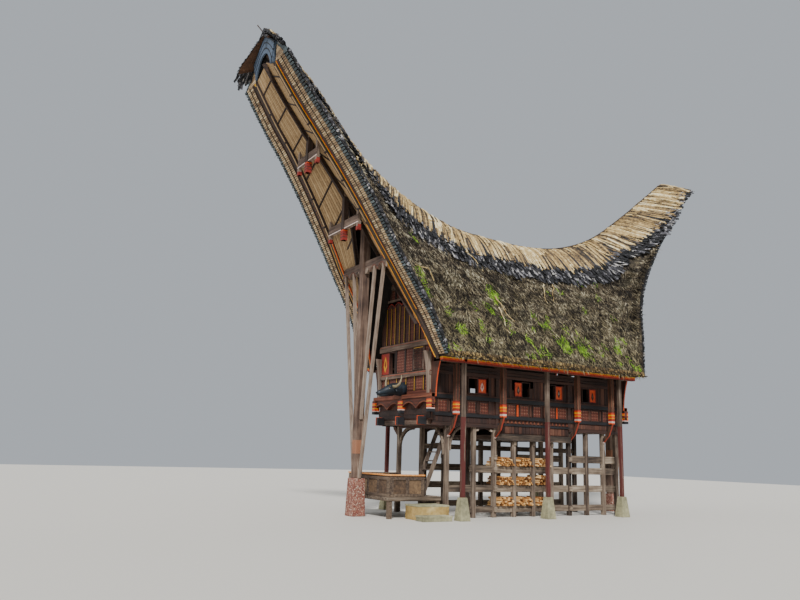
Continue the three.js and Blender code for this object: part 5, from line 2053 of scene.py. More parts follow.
def scallop_edge(
    half: float, low: float, high: float, count: int, thick: float = 0.03
) -> list[list[tuple[float, float]]]:
    """Outline the painted lower edge of a scalloped board, one strip for each scallop.

    Args:
        half: Half the board's length.
        low: Height of the points between the scallops.
        high: Height of the board's top.
        count: How many scallops it has.
        thick: Height of the painted strip.

    Returns:
        A closed outline for each scallop, as pairs of level axis and height.
    """
    pitch, depth = 2 * half / count, (high - low) * 0.45
    strips = []
    for i in range(count):
        arch = [(-half + (i + k / 8) * pitch, low + depth * math.sin(math.pi * k / 8)) for k in range(9)]
        strips.append(arch + [(u, z + thick) for u, z in reversed(arch)])
    return strips


@dataclass
class GableFacade:
    """One gable's face: rails, stiles, carved panels, shutter and lattice up to the roof, and its apron."""

    form: RoofForm
    end: End
    front_face: float = -5.1
    rear_face: float = 4.03
    half_width: float = 1.72
    window: tuple[float, float] = (-1.02, -0.66)
    shutter: tuple[float, float] = (-1.64, -1.04)
    window_heights: tuple[float, float] = (4.96, 5.75)
    rails: Table = ((4.77, 4.94), (5.8, 6.03), (8.14, 8.36), (9.15, 9.32))
    rows: tuple[tuple[tuple[float, float], tuple[float, ...], Finish, Finish | None], ...] = (
        ((4.27, 4.77), (-1.62, -1.1, -0.5, 0.14, 0.7, 1.28, 1.62), CARVED_GABLE, YELLOW_PAINT),
        ((4.96, 5.8), (-1.68, -0.6, 0.04, 0.58, 1.28, 1.62), CARVED_GABLE, None),
        ((6.05, 7.44), (-1.3, -1.0, -0.72, -0.4, -0.07, 0.28, 0.62, 0.95, 1.28), RED_PLANK, YELLOW_PAINT),
        ((7.77, 8.13), (-0.75, -0.25, 0.25, 0.75), CARVED_GABLE, None),
        ((8.38, 9.13), (-0.5, -0.18, 0.18, 0.5), CARVED_GABLE, YELLOW_PAINT),
    )
    lattice: tuple[float, float] = (0.64, 1.22)
    lattice_heights: tuple[float, float] = (5.02, 5.74)
    lattice_pitch: float = 0.065
    scalloped_half: float = 1.25
    scalloped_heights: tuple[float, float] = (7.45, 7.75)
    scallops: int = 5
    apron_half: float = 1.95
    apron_heights: tuple[float, float] = (3.64, 4.12)
    apron_scallops: int = 4
    hangers: tuple[float, ...] = (-1.85, 0.0, 1.85)
    hanger_half: float = 0.096
    hanger_bands: tuple[tuple[float, float, Finish], ...] = (
        (3.5, 3.6, LAMP_BLACK), (3.6, 3.63, WHITE_PAINT), (3.63, 3.71, ORANGE_PAINT),
        (3.71, 3.74, YELLOW_PAINT), (3.74, 3.83, RED_PAINT), (3.83, 3.86, YELLOW_PAINT),
        (3.86, 3.92, ORANGE_PAINT), (3.92, 4.0, RED_PLANK),
    )
    joist_ends: tuple[float, ...] = (-1.4, 0.0, 1.4)

    def half_at(self, z: float) -> float:
        """Half the wall's width at a height, where the attic's slope cuts it.

        Args:
            z: The height.

        Returns:
            The half width.
        """
        apex = float(self.form.attic(np.array(self.front_face if self.end is End.FRONT else self.rear_face)))
        slope = (apex - self.form.eave) / (2.25 - 0.12)
        return min(self.half_width, 0.12 + (apex - z) / slope - 0.03)

    def build(self) -> None:
        """Dress the wall, the peak and the apron."""
        at = self.front_face if self.end is End.FRONT else self.rear_face
        self.wall = WallFace(Plane.GABLE, at, self.end.value)
        self.label = self.end.name.lower()
        self.skin = Skin(f"{self.label}_gable", "carved_wood")
        self.rails_and_stiles()
        self.panels()
        self.openings()
        self.apron()
        self.brackets()
        self.skin.settle()
        softened(f"{self.label}_wall", WALL_PLANK, 0.006)
        softened(f"{self.label}_gable_peak", WALL_PLANK, 0.006)
        softened(f"{self.label}_apron", RED_PLANK, 0.006)

    def rails_and_stiles(self) -> None:
        """Lay the four weathered rails with a worn yellow line, and the scalloped beam's orange edge."""
        for low, high in self.rails:
            half = self.half_at(high)
            self.wall.slab(self.skin[BEAM_WOOD], (-half, half), (low, high - 0.05), 0.085)
            self.wall.slab(self.skin[BEAM_WOOD], (-half, half), (high - 0.06, high), 0.06)
            self.wall.slab(self.skin[ORANGE_PAINT], (-half, half), (high - 0.055, high - 0.035), 0.066, 0.15)
        for outline in scallop_edge(self.scalloped_half, *self.scalloped_heights, self.scallops):
            arch = outline[: len(outline) // 2]
            board = [*arch, (arch[-1][0], self.scalloped_heights[1]), (arch[0][0], self.scalloped_heights[1])]
            # Tone 0.8 lightens the scalloped boards: painted light, against the shade under the roof
            self.wall.plate(self.skin[BEAM_WOOD], board, 0.06, 0.8)
            self.wall.plate(self.skin[RED_PAINT], outline, 0.066, 0.7)
        half = self.half_at(7.75)
        self.wall.slab(self.skin[BEAM_WOOD], (-half, half), (7.66, 7.75), 0.075)

    def row(
        self, heights: tuple[float, float], edges: Sequence[float], finish: Finish, line: Finish | None
    ) -> None:
        """Fill one row with panels between stiles.

        Args:
            heights: Lower and upper edge of the row.
            edges: The stiles' middles.
            finish: The panels' finish.
            line: Finish of the thin line down each stile, if it has one.
        """
        half = self.half_at(heights[1])
        inside = [u for u in edges if abs(u) < half - 0.06]
        for u in inside:
            self.wall.slab(self.skin[MOULDING], about(u, 0.05), heights, 0.035)
            if line:
                self.wall.slab(self.skin[line], about(u, 0.01), heights, 0.041, 0.1)
        bounds = [-half, *inside, half]
        for a, b in zip(bounds, bounds[1:]):
            if b - a > 0.2 and not self.crosses_opening(a, b, heights):
                self.wall.slab(
                    self.skin[finish], (a + 0.07, b - 0.07), (heights[0] + 0.02, heights[1] - 0.02), 0.018
                )

    def crosses_opening(self, a: float, b: float, heights: tuple[float, float]) -> bool:
        """Whether a panel would lie over the window or its shutter."""
        low, high = self.window_heights
        return a < self.window[1] and b > self.shutter[0] and heights[0] < high and heights[1] > low

    def panels(self) -> None:
        """Fill the rows from the head's height up to the peak."""
        for heights, stiles, finish, line in self.rows:
            self.row(heights, stiles, finish, line)
        self.wall.slab(self.skin[RED_PLANK], (0.25, 1.7), (4.12, 4.26), 0.05, 0.75)
        self.wall.slab(self.skin[RED_PLANK], (-1.7, -0.25), (4.12, 4.26), 0.05, 0.6)
        for k in range(9):
            u = 0.66 + self.lattice_pitch * k
            self.wall.slab(self.skin[MOULDING], about(u, 0.008), self.lattice_heights, 0.032)
        for k in range(11):
            z = 5.05 + self.lattice_pitch * k
            self.wall.slab(self.skin[MOULDING], self.lattice, about(z, 0.008), 0.03)
        self.wall.frame(self.skin[BEAM_WOOD], self.lattice, self.lattice_heights, 0.03, 0.045)
        self.wall.slab(self.skin[YELLOW_PAINT], (0.62, 1.24), (5.755, 5.775), 0.052, 0.3)

    def openings(self) -> None:
        """Frame the window and paint the sliding shutter red with a plain motif."""
        self.wall.frame(
            self.skin[MOULDING], (self.window[0], self.window[1]), self.window_heights, 0.03, 0.05
        )
        across, heights = self.shutter, self.window_heights
        self.wall.slab(self.skin[RED_PAINT], across, heights, 0.036, 0.7)
        self.wall.frame(
            self.skin[RED_PAINT], (across[0] + 0.04, across[1] - 0.04),
            (heights[0] + 0.04, heights[1] - 0.04), 0.035, 0.045,
        )
        self.wall.leaf_motif(self.skin[YELLOW_PAINT], self.skin[RED_PAINT], across, heights, 0.04)

    def apron(self) -> None:
        """Edge the apron in orange, and band its short hangers over dark feet."""
        proud = 0.13
        for outline in scallop_edge(self.apron_half, *self.apron_heights, self.apron_scallops, 0.035):
            self.wall.plate(self.skin[RED_PLANK], outline, proud + 0.006, 0.95)
            lifted = [(u, z + 0.07) for u, z in outline]
            self.wall.plate(self.skin[MOULDING], lifted, proud + 0.004, 0.7)
        self.wall.slab(
            self.skin[RED_PLANK], (-self.apron_half, self.apron_half), (4.0, 4.13), proud + 0.03, 0.95
        )
        for x in self.hangers:
            for low, high, finish in self.hanger_bands:
                self.wall.slab(self.skin[finish], about(x, self.hanger_half), (low, high), 0.206, 0.5)
        if self.end is End.FRONT:
            for x in self.joist_ends:
                self.wall.slab(self.skin[LAMP_BLACK], about(x, 0.076), (3.09, 3.36), 0.287, 0.6)
                self.wall.slab(self.skin[ORANGE_PAINT], (x - 0.085, x - 0.055), (3.08, 3.38), 0.294, 0.3)
        self.wall.slab(self.skin[MOULDING], (-1.72, 1.72), (3.3, 3.62), 0.03, 0.15)
        self.wall.slab(self.skin[MOULDING], (-1.72, 1.72), (3.44, 3.6), 0.04, 0.3)

    def brackets(self) -> None:
        """Paint the curved edges of the four corner brackets."""
        steps = 10
        outline = [(self.wall.at, 4.12)]
        for k in range(steps + 1):
            t = k / steps
            outline.append((self.wall.at + self.wall.out * (0.1 + 0.16 * t * t), 4.12 + 1.45 * t))
        outline.append((self.wall.at, 5.57))
        for x in (-1.694, -1.604, 1.596, 1.686):
            self.skin[STAY_WOOD].prism(outline, (x, x + 0.008), 0, 0.45)
        for side in (-1, 1):
            for kind, foot, head, low, high in (
                ("plane", 0.23, 0.45, 4.02, 5.2), ("forward", 0.1, 0.26, 4.12, 5.57)
            ):
                path = []
                for k in range(steps + 1):
                    t = k / steps
                    reach = foot + (head - foot) * t * t
                    z = low + (high - low) * t
                    if kind == "plane":
                        path.append(
                            (side * (self.half_width + reach), self.wall.at - self.wall.out * 0.04, z)
                        )
                    else:
                        path.append((side * 1.645, self.wall.at + self.wall.out * reach, z))
                finish = ORANGE_PAINT if kind == "plane" else STAY_WOOD
                for a, b in zip(path, path[1:]):
                    width, depth = (0.014, 0.036) if kind == "plane" else (0.096, 0.02)
                    self.edge(self.skin[finish], a, b, width, depth)

    def edge(self, draft: Draft, a: Point, b: Point, across: float, along: float) -> None:
        """Add one straight length of a bracket's painted edge, upright in section.

        Args:
            draft: The mesh that gets it.
            a: Middle of one end.
            b: Middle of the other end.
            across: Its width along X.
            along: Its depth along Y.
        """
        rings = [
            [(p[0] - across / 2, p[1] - along / 2, p[2]), (p[0] + across / 2, p[1] - along / 2, p[2]),
             (p[0] + across / 2, p[1] + along / 2, p[2]), (p[0] - across / 2, p[1] + along / 2, p[2])]
            for p in (a, b)
        ]
        draft.loft(rings, 0.4)


@dataclass
class SideFacade:
    """One long wall: moulded boards, windows, carved squares, and the weathered sill of the middle room."""

    side: Side
    face: float = 1.62
    length: tuple[float, float] = (-5.0, 3.93)
    room: tuple[float, float] = (-2.183, 1.275)
    windows: Table = ((-3.47, -3.09), (-1.02, -0.67), (0.32, 0.6), (2.03, 2.37))
    shutters: Table = ((-3.06, -2.7), (-1.38, -1.04), (0.62, 0.96), (2.4, 2.74))
    window_heights: tuple[float, float] = (4.26, 4.77)
    squares: Table = (
        (-4.75, -4.4), (-4.2, -3.85), (-3.49, -3.17), (-2.95, -2.56), (-1.72, -1.37), (-1.1, -0.74),
        (-0.49, -0.13), (0.25, 0.6), (0.76, 1.14), (1.5, 1.82), (1.95, 2.34), (2.48, 2.88), (3.1, 3.5),
    )
    strips: tuple[float, ...] = (-1.24, 0.68)
    square_heights: tuple[float, float] = (3.56, 3.93)

    def build(self) -> None:
        """Dress the wall from the eave down."""
        self.wall = WallFace(Plane.LONG_SIDE, self.side.value * self.face, self.side.value)
        label = self.side.name.lower()
        self.skin = Skin(f"{label}_side", "carved_wood")
        self.mouldings()
        self.window_row()
        self.carved_row()
        self.foot()
        self.skin.settle()
        softened(f"{label}_wall", WALL_PLANK, 0.006)

    def mouldings(self) -> None:
        """Lay the stepped boards under the eave and the black beams between the rows."""
        y0, y1 = self.length
        for low, high, proud, tone in (
            (5.09, 5.19, 0.07, 0.5), (4.98, 5.07, 0.045, 0.3), (4.85, 4.95, 0.06, 0.7)
        ):
            self.wall.slab(self.skin[MOULDING], (y0, y1), (low, high), proud, tone)
        for low, high, proud in ((4.0, 4.13, 0.08), (3.41, 3.52, 0.07)):
            self.wall.slab(self.skin[LAMP_BLACK], (y0, y1), (low, high), proud, 0.4)
        self.wall.slab(self.skin[MOULDING], (y0, y1), (4.13, 4.18), 0.06, 0.85)
        for u in (
            y0 + 0.06, self.room[0] - 0.35, self.room[0] - 0.02, self.room[1] + 0.02, self.room[1] + 0.35,
            y1 - 0.06,
        ):
            self.wall.slab(self.skin[MOULDING], about(u, 0.06), (3.15, 5.0), 0.05, 0.6)

    def window_row(self) -> None:
        """Plank the row between the windows and paint the shutters."""
        taken = sorted([*self.windows, *self.shutters])
        low, high = self.window_heights
        u = self.length[0] + 0.15
        while u < self.length[1] - 0.2:
            wide = 0.17 + 0.03 * math.sin(u * 9.0)
            if not any(a - 0.04 < u + wide and b + 0.04 > u for a, b in taken):
                self.wall.slab(
                    self.skin[WALL_PLANK], (u + 0.008, u + wide - 0.008), (low - 0.07, high + 0.07), 0.014
                )
            u += wide
        for k, (span, shut) in enumerate(zip(self.windows, self.shutters)):
            self.wall.frame(self.skin[MOULDING], span, self.window_heights, 0.028, 0.045)
            self.wall.slab(self.skin[ORANGE_PAINT], shut, (low, high), 0.036, 0.25)
            self.wall.frame(
                self.skin[RED_PAINT], (shut[0] + 0.03, shut[1] - 0.03), (low + 0.03, high - 0.03), 0.03, 0.042
            )
            leaf, heart = (WHITE_PAINT, RED_PAINT) if k == 0 else (MOULDING, STAY_WOOD)
            self.wall.leaf_motif(self.skin[leaf], self.skin[heart], shut, (low + 0.02, high - 0.06), 0.04)

    def carved_row(self) -> None:
        """Set the carved squares in dark frames, with two orange strips between them."""
        low, high = self.square_heights
        for a, b in self.squares:
            self.wall.slab(self.skin[CARVED_SIDE], (a, b), (low, high), 0.022)
            self.wall.frame(self.skin[MOULDING], (a, b), (low, high), 0.035, 0.04)
        for u in self.strips:
            self.wall.slab(self.skin[ORANGE_PAINT], about(u, 0.025), (low - 0.02, high + 0.02), 0.045, 0.35)
        for (_, b), (c, _) in zip(self.squares, self.squares[1:]):
            if c - b > 0.14 and not any(b < u < c for u in self.strips):
                self.wall.slab(
                    self.skin[WALL_PLANK], ((b + c) / 2 - 0.03, (b + c) / 2 + 0.03), (low, high), 0.03
                )

    def foot(self) -> None:
        """Lay the triangles, planks and sill of the middle room, and the dark skirts of the end rooms."""
        y0, y1 = self.length
        r0, r1 = self.room
        pitch = 0.18
        count = int((r1 - r0) / pitch)
        for k in range(count):
            u = r0 + 0.05 + (k + 0.5) * pitch
            outline = [(u - 0.05, 3.28), (u + 0.05, 3.28), (u, 3.38)]
            self.wall.plate(self.skin[RED_PLANK], outline, 0.03, 0.9)
        self.wall.slab(self.skin[LAMP_BLACK], (r0, r1), (3.18, 3.25), 0.055, 0.6)
        u = r0 + 0.04
        while u < r1 - 0.1:
            wide = 0.2 + 0.05 * math.sin(u * 7.0)
            self.wall.slab(self.skin[WALL_PLANK], (u, min(u + wide, r1) - 0.018), (2.92, 3.17), 0.02)
            u += wide
        self.wall.slab(self.skin[RAIL_WOOD], (r0 - 0.05, r1 + 0.05), (2.66, 2.89), 0.11, -0.25)
        for a, b in ((y0, r0), (r1, y1)):
            self.wall.slab(self.skin[MOULDING], (a, b), (3.07, 3.2), 0.06, 0.5)
            self.wall.slab(self.skin[WALL_PLANK], (a, b), (3.21, 3.39), 0.03)


@dataclass
class Eaves:
    """Eave beam and fascia, banded hanging posts, braces, columns on their bases, and the lowest courses."""

    eave: float = 5.35
    beam: tuple[float, float] = (2.38, 2.55)
    beam_low: float = 5.15
    length: tuple[float, float] = (-5.2, 4.0)
    hanging_x: float = 2.07
    hanging_width: float = 0.155
    hanging_y: tuple[float, ...] = (-4.3, -2.258, 1.35, 3.154)
    hanging_foot: float = 3.45
    foot_bands: tuple[tuple[float, float, Finish, float], ...] = (
        (3.445, 3.49, ORANGE_PAINT, 0.3), (3.49, 3.555, WHITE_PAINT, 0.3), (3.555, 3.65, RED_PAINT, 0.8),
        (3.65, 3.675, YELLOW_PAINT, 0.3), (3.675, 3.76, ORANGE_PAINT, 0.2), (3.76, 3.8, YELLOW_PAINT, 0.6),
        (3.8, 3.86, ORANGE_PAINT, 0.1), (3.86, 3.9, RED_PAINT, 0.3),
    )
    outrigger: tuple[float, float] = (1.52, 2.43)
    brace: Table = ((1.617, 2.72), (1.93, 3.0), (2.14, 3.47), (2.03, 3.47), (1.84, 3.12), (1.617, 2.88))
    columns: tuple[float, ...] = (-4.28, -0.54, 3.18)
    courses: int = 9
    seed: int = 17

    def build(self) -> None:
        """Dress the eaves of both sides and stand the columns."""
        for side in Side:
            label = side.name.lower()
            self.skin = Skin(f"{label}_eave", "wood")
            self.frame()
            self.fascia()
            self.underside()
            for y in self.hanging_y:
                self.bands(y)
                self.brace_edge(y)
            for draft in self.skin.drafts.values():
                draft.corners = [(side.value * x, y, z) for x, y, z in draft.corners]
            self.skin.settle({HANGING_WOOD: (f"{label}_eave_frame",)}, {HANGING_WOOD: 0.008})
            for k in (1, 2, 3):
                softened(f"{label}_eave_column_{k}", RED_COLUMN, 0.006)
                softened(f"{label}_column_base_{k}", CONCRETE, 0.012)

    def frame(self) -> None:
        """Lay the eave beam on its outriggers, and hang the posts with their braces."""
        wood = self.skin[HANGING_WOOD]
        wood.box(self.beam, self.length, (self.beam_low, self.eave), 0.35)
        half = self.hanging_width / 2
        for y in self.hanging_y:
            wood.box(self.outrigger, about(y, 0.06), (5.2, 5.34), 0.4)
            wood.box(about(self.hanging_x, half), about(y, half), (self.hanging_foot, 5.22), 0.55)
            wood.prism(self.brace, about(y, 0.042), 1, 0.45)

    def fascia(self) -> None:
        """Run the yellow and orange-red lines along the eave beam, with a small knob at each post."""
        face = WallFace(Plane.LONG_SIDE, self.beam[1], 1)
        for finish, heights, proud, tone in (
            (ORANGE_PAINT, (5.205, 5.262), 0.02, 0.2), (RED_PAINT, (5.15, 5.2), 0.012, 0.3),
            (YELLOW_PAINT, (5.262, 5.3), 0.032, 0.6), (MOULDING, (5.3, 5.352), 0.045, 0.5),
        ):
            face.slab(self.skin[finish], self.length, heights, proud, tone)
        for y in (*self.hanging_y, *self.columns, -3.28, 0.45, 2.3):
            face.slab(self.skin[ORANGE_PAINT], about(y, 0.06), (5.2, 5.27), 0.036, 0.3)
            face.slab(self.skin[YELLOW_PAINT], about(y, 0.065), (5.27, 5.305), 0.042, 0.5)
        ends = WallFace(Plane.GABLE, self.length[0], -1)
        ends.slab(self.skin[YELLOW_PAINT], (self.beam[0], self.beam[1] + 0.03), (5.262, 5.3), 0.02, 0.5)
        ends.slab(self.skin[ORANGE_PAINT], (self.beam[0], self.beam[1] + 0.02), (5.2, 5.262), 0.015, 0.2)

    def underside(self) -> None:
        """Lay the cut edges of the lowest courses under the eave, each a row of short lengths."""
        rng = random.Random(self.seed)
        first, last = self.beam[1] + 0.04, 2.93
        for k in range(self.courses):
            x = first + (last - first) * k / (self.courses - 1)
            y = self.length[0] - 0.02
            while y < self.length[1]:
                long = rng.uniform(0.15, 0.5)
                drop = rng.uniform(0.006, 0.03) + 0.014 * (k % 2)
                off = rng.uniform(-0.008, 0.008)
                self.skin[STALK].box(
                    about(x + off, 0.017), (y, y + long), (self.eave - drop, self.eave + 0.01),
                    rng.uniform(0.0, 0.75),
                )
                y += long + rng.uniform(0.0, 0.03)

    def bands(self, y: float) -> None:
        """Band the foot of one hanging post, and line its outer corners in worn red.

        Args:
            y: Where the post hangs along the house.
        """
        half = self.hanging_width / 2
        x0, x1 = self.hanging_x - half, self.hanging_x + half
        for k, (low, high, finish, tone) in enumerate(self.foot_bands):
            proud = 0.005 + 0.003 * (k % 2)
            self.skin[finish].box(
                (x0 - proud, x1 + proud), (y - half - proud, y + half + proud), (low, high), tone
            )
        for dy in (-half + 0.014, half - 0.014):
            self.skin[RED_PLANK].box((x1 - 0.01, x1 + 0.005), about(y + dy, 0.012), (3.92, 5.15), 0.9)
        self.skin[RED_PLANK].box(
            (x0 + 0.004, x0 + 0.026), (y - half - 0.005, y - half + 0.01), (3.92, 5.15), 0.9
        )

    def brace_edge(self, y: float) -> None:
        """Paint the outer edge of one brace, with a pale tip at its foot.

        Args:
            y: Where the brace stands along the house.
        """
        points = [(x + 0.004, y, z - 0.006) for x, z in self.brace[:3]]
        for a, b in zip(points, points[1:]):
            self.skin[BRACE_PAINT].bar(a, b, 0.05, 0.02, 0.4)
        tip = Vector(points[0])
        self.skin[WHITE_PAINT].bar(tuple(tip), tuple(tip + Vector((0.05, 0, 0.04))), 0.094, 0.036, 0.3)


@dataclass
class Understorey:
    """Posts with the rails through them, the middle row, the floors, the lintels and stored firewood."""

    post: float = 0.15
    row_x: float = 1.54
    row_y: tuple[float, ...] = (-4.3, -3.16, -2.258, -1.356, -0.454, 0.448, 1.35, 2.252, 3.154, 3.88)
    middle_y: tuple[float, ...] = (-4.3, -2.258, 1.35, 3.154)
    navel: float = 0.19
    room: tuple[float, float] = (-2.183, 1.275)
    room_base: float = 2.7
    end_base: float = 3.1
    rail: float = 0.06
    rails: Table = ((0.17, 0.39), (0.86, 1.1), (1.51, 1.76))
    rear_rail: tuple[float, float] = (1.93, 2.2)
    tie: tuple[float, float] = (2.3, 2.48)
    wood_bays: tuple[tuple[float, float], ...] = ((-2.16, -1.45), (-1.26, -0.55), (-0.36, 0.3))
    wood_fill: tuple[float, float, float] = (0.32, 0.36, 0.3)
    wood_course: float = 0.058
    seed: int = 31

    def top(self, y: float) -> float:
        """Height of the floor's structure over a post."""
        return self.room_base if self.room[0] < y < self.room[1] else self.end_base

    def build(self) -> None:
        """Stand the posts, lay the rails, and dress what is fixed to them."""
        skin = Skin("understorey", "wood")
        half = self.post / 2
        for side in Side:
            x = side.value * self.row_x
            for y in self.row_y:
                skin[SHADED_POST_WOOD].box(about(x, half), about(y, half), (0.0, self.top(y)))
            first, last = self.row_y[1] - self.post, self.row_y[-1]
            spans = [
                (first, last, self.rails[0]), (self.row_y[0], last, self.rails[1]),
                (first, last, self.rails[2]),
            ]
            for y0, y1, heights in [*spans, (self.room[1], last, self.rear_rail)]:
                edges = [y0, *(y for y in self.row_y if y0 + 2 * self.post < y < y1), y1]
                for a, b in zip(edges, edges[1:]):
                    skin[RAIL_WOOD].box(about(x, self.rail / 2), (a, b), heights)
                for y in (self.row_y[2], self.row_y[6]):
                    out = side.value * (self.row_x + half)
                    span = sorted((out - side.value * 0.01, out + side.value * 0.07))
                    middle = sum(heights) / 2
                    skin[RAIL_WOOD].box(span, about(y, 0.055), (middle - 0.09, middle + 0.08), 0.85)
            for y in self.row_y[3:6]:
                out = side.value * (self.row_x + half)
                span = sorted((out - side.value * 0.01, out + side.value * 0.05))
                skin[RAIL_WOOD].box(span, about(y, 0.05), (2.5, 2.64), 0.6)
        for y in self.middle_y:
            skin[SHADED_POST_WOOD].box((-half, half), about(y, half), (0.0, self.top(y)))
        skin[SHADED_POST_WOOD].box(
            (-self.navel / 2, self.navel / 2), (-self.navel / 2, self.navel / 2), (0.0, self.room_base)
        )
        skin[RAIL_WOOD].box((-self.rail / 2, self.rail / 2), (self.middle_y[0], self.middle_y[-1]), self.tie)
        self.lintels(skin)
        nodes = ("right_post_frame", "left_post_frame", "middle_post_row")
        skin.settle({SHADED_POST_WOOD: nodes}, {SHADED_POST_WOOD: 0.012, RAIL_WOOD: 0.008})
        for node in ("front_floor", "middle_floor", "rear_floor"):
            softened(node, BEAM_WOOD, 0.005)
        softened("ridge_beam", DARK_WOOD, 0.006)
        self.firewood()

    def lintels(self, skin: Skin) -> None:
        """Fix an arched lintel in the second bay, and curved brackets at the entrance bay's corner post.

        Args:
            skin: The meshes by their finish.
        """
        arc = [math.sin(0.5 * math.pi * k / 8) for k in range(9)]
        for side in Side:
            face = WallFace(Plane.LONG_SIDE, side.value * 1.545, side.value)
            arch = [(-3.09 + 0.76 * k / 10, 2.93 + 0.1 * math.sin(math.pi * k / 10)) for k in range(11)]
            face.plate(skin[MOULDING], [*arch, (-2.33, 3.09), (-3.09, 3.09)], 0.05, 0.6)
            for u, turn in ((-3.09, 1), (-2.36, -1)):
                shape = ((0.0, 3.0), (0.1, 3.03), (0.13, 3.0), (0.1, 2.955), (0.0, 2.93))
                face.plate(skin[STAY_WOOD], [(u + turn * x, z) for x, z in shape], 0.065, 0.8)
            path = [
                (side.value * 1.6, -4.22 + 0.62 * (k / 8) ** 2, 2.25 + 0.8 * v) for k, v in enumerate(arc)
            ]
            for a, b in zip(path, path[1:]):
                skin[SHADED_POST_WOOD].bar(a, b, 0.06, 0.09, 0.75)
            inner = [
                (side.value * (1.46 - 0.85 * (k / 8) ** 2), -4.36, 2.1 + 0.95 * v) for k, v in enumerate(arc)
            ]
            for a, b in zip(inner, inner[1:]):
                skin[SHADED_POST_WOOD].bar(a, b, 0.06, 0.1, 0.8)
        front = WallFace(Plane.GABLE, -4.37, -1)
        edge = [(-1.46 + 2.92 * k / 24, 2.98 + 0.05 * abs(math.sin(3 * math.pi * k / 24))) for k in range(25)]
        front.plate(skin[MOULDING], [*edge, (1.46, 3.09), (-1.46, 3.09)], 0.03, 0.9)
        front.slab(skin[RED_PLANK], (-1.46, 1.46), (3.09, 3.1), 0.02, 0.8)

    def firewood(self) -> None:
        """Stack split firewood on poles that lie across the rails, in three tiers on the right side."""
        logs, poles = Draft(rng=random.Random(self.seed)), Draft(rng=random.Random(3))
        rng = logs.rng
        for tier, (_, top) in enumerate(self.rails):
            poles.box((1.03, 1.09), (self.row_y[2], self.row_y[6]), (top - 0.06, top), 0.4)
            for y in (self.row_y[2], self.row_y[4], self.row_y[6]):
                poles.box((-0.03, 1.54), about(y, 0.03), (top - 0.14, top - 0.062), 0.3)
            for a, b in self.wood_bays:
                full = self.wood_fill[tier] * rng.uniform(0.85, 1.1)
                z = top + 0.035
                layer = 0
                while z < top + full:
                    y = a + 0.03 * layer + rng.uniform(0.0, 0.03)
                    while y < b - 0.03 * layer:
                        size = rng.uniform(0.05, 0.085)
                        self.log(
                            logs, (rng.uniform(1.6, 1.72), y + size / 2, z + rng.uniform(-0.01, 0.01)), size,
                            rng.uniform(0.62, 0.74),
                        )
                        y += size * 1.02
                    z += self.wood_course
                    layer += 1
        piece("stacked_firewood", logs.mesh("stacked_firewood"), FIREWOOD)
        piece("firewood_poles", poles.mesh("firewood_poles"), RAIL_WOOD)

    def log(self, made: Draft, end: Point, size: float, long: float) -> None:
        """Add one split log that lies across the poles, its cut end outward.

        Args:
            made: The mesh that gets it.
            end: Middle of its cut end.
            size: Its thickness.
            long: Its length.
        """
        rng = made.rng
        corners = rng.choice((3, 4, 5))
        start = rng.uniform(0, 6.3)
        radii = [size * 0.5 * rng.uniform(0.85, 1.15) for _ in range(corners)]
        turns = [start + 2 * math.pi * i / corners for i in range(corners)]
        skew = (rng.uniform(-0.02, 0.02), rng.uniform(-0.01, 0.01))
        rings = []
        for x, dy, dz in ((end[0], 0.0, 0.0), (end[0] - long, *skew)):
            rings.append(
                [
                    (x, end[1] + dy + r * math.cos(t), end[2] + dz + r * math.sin(t))
                    for r, t in zip(radii, turns)
                ]
            )
        made.loft(rings)


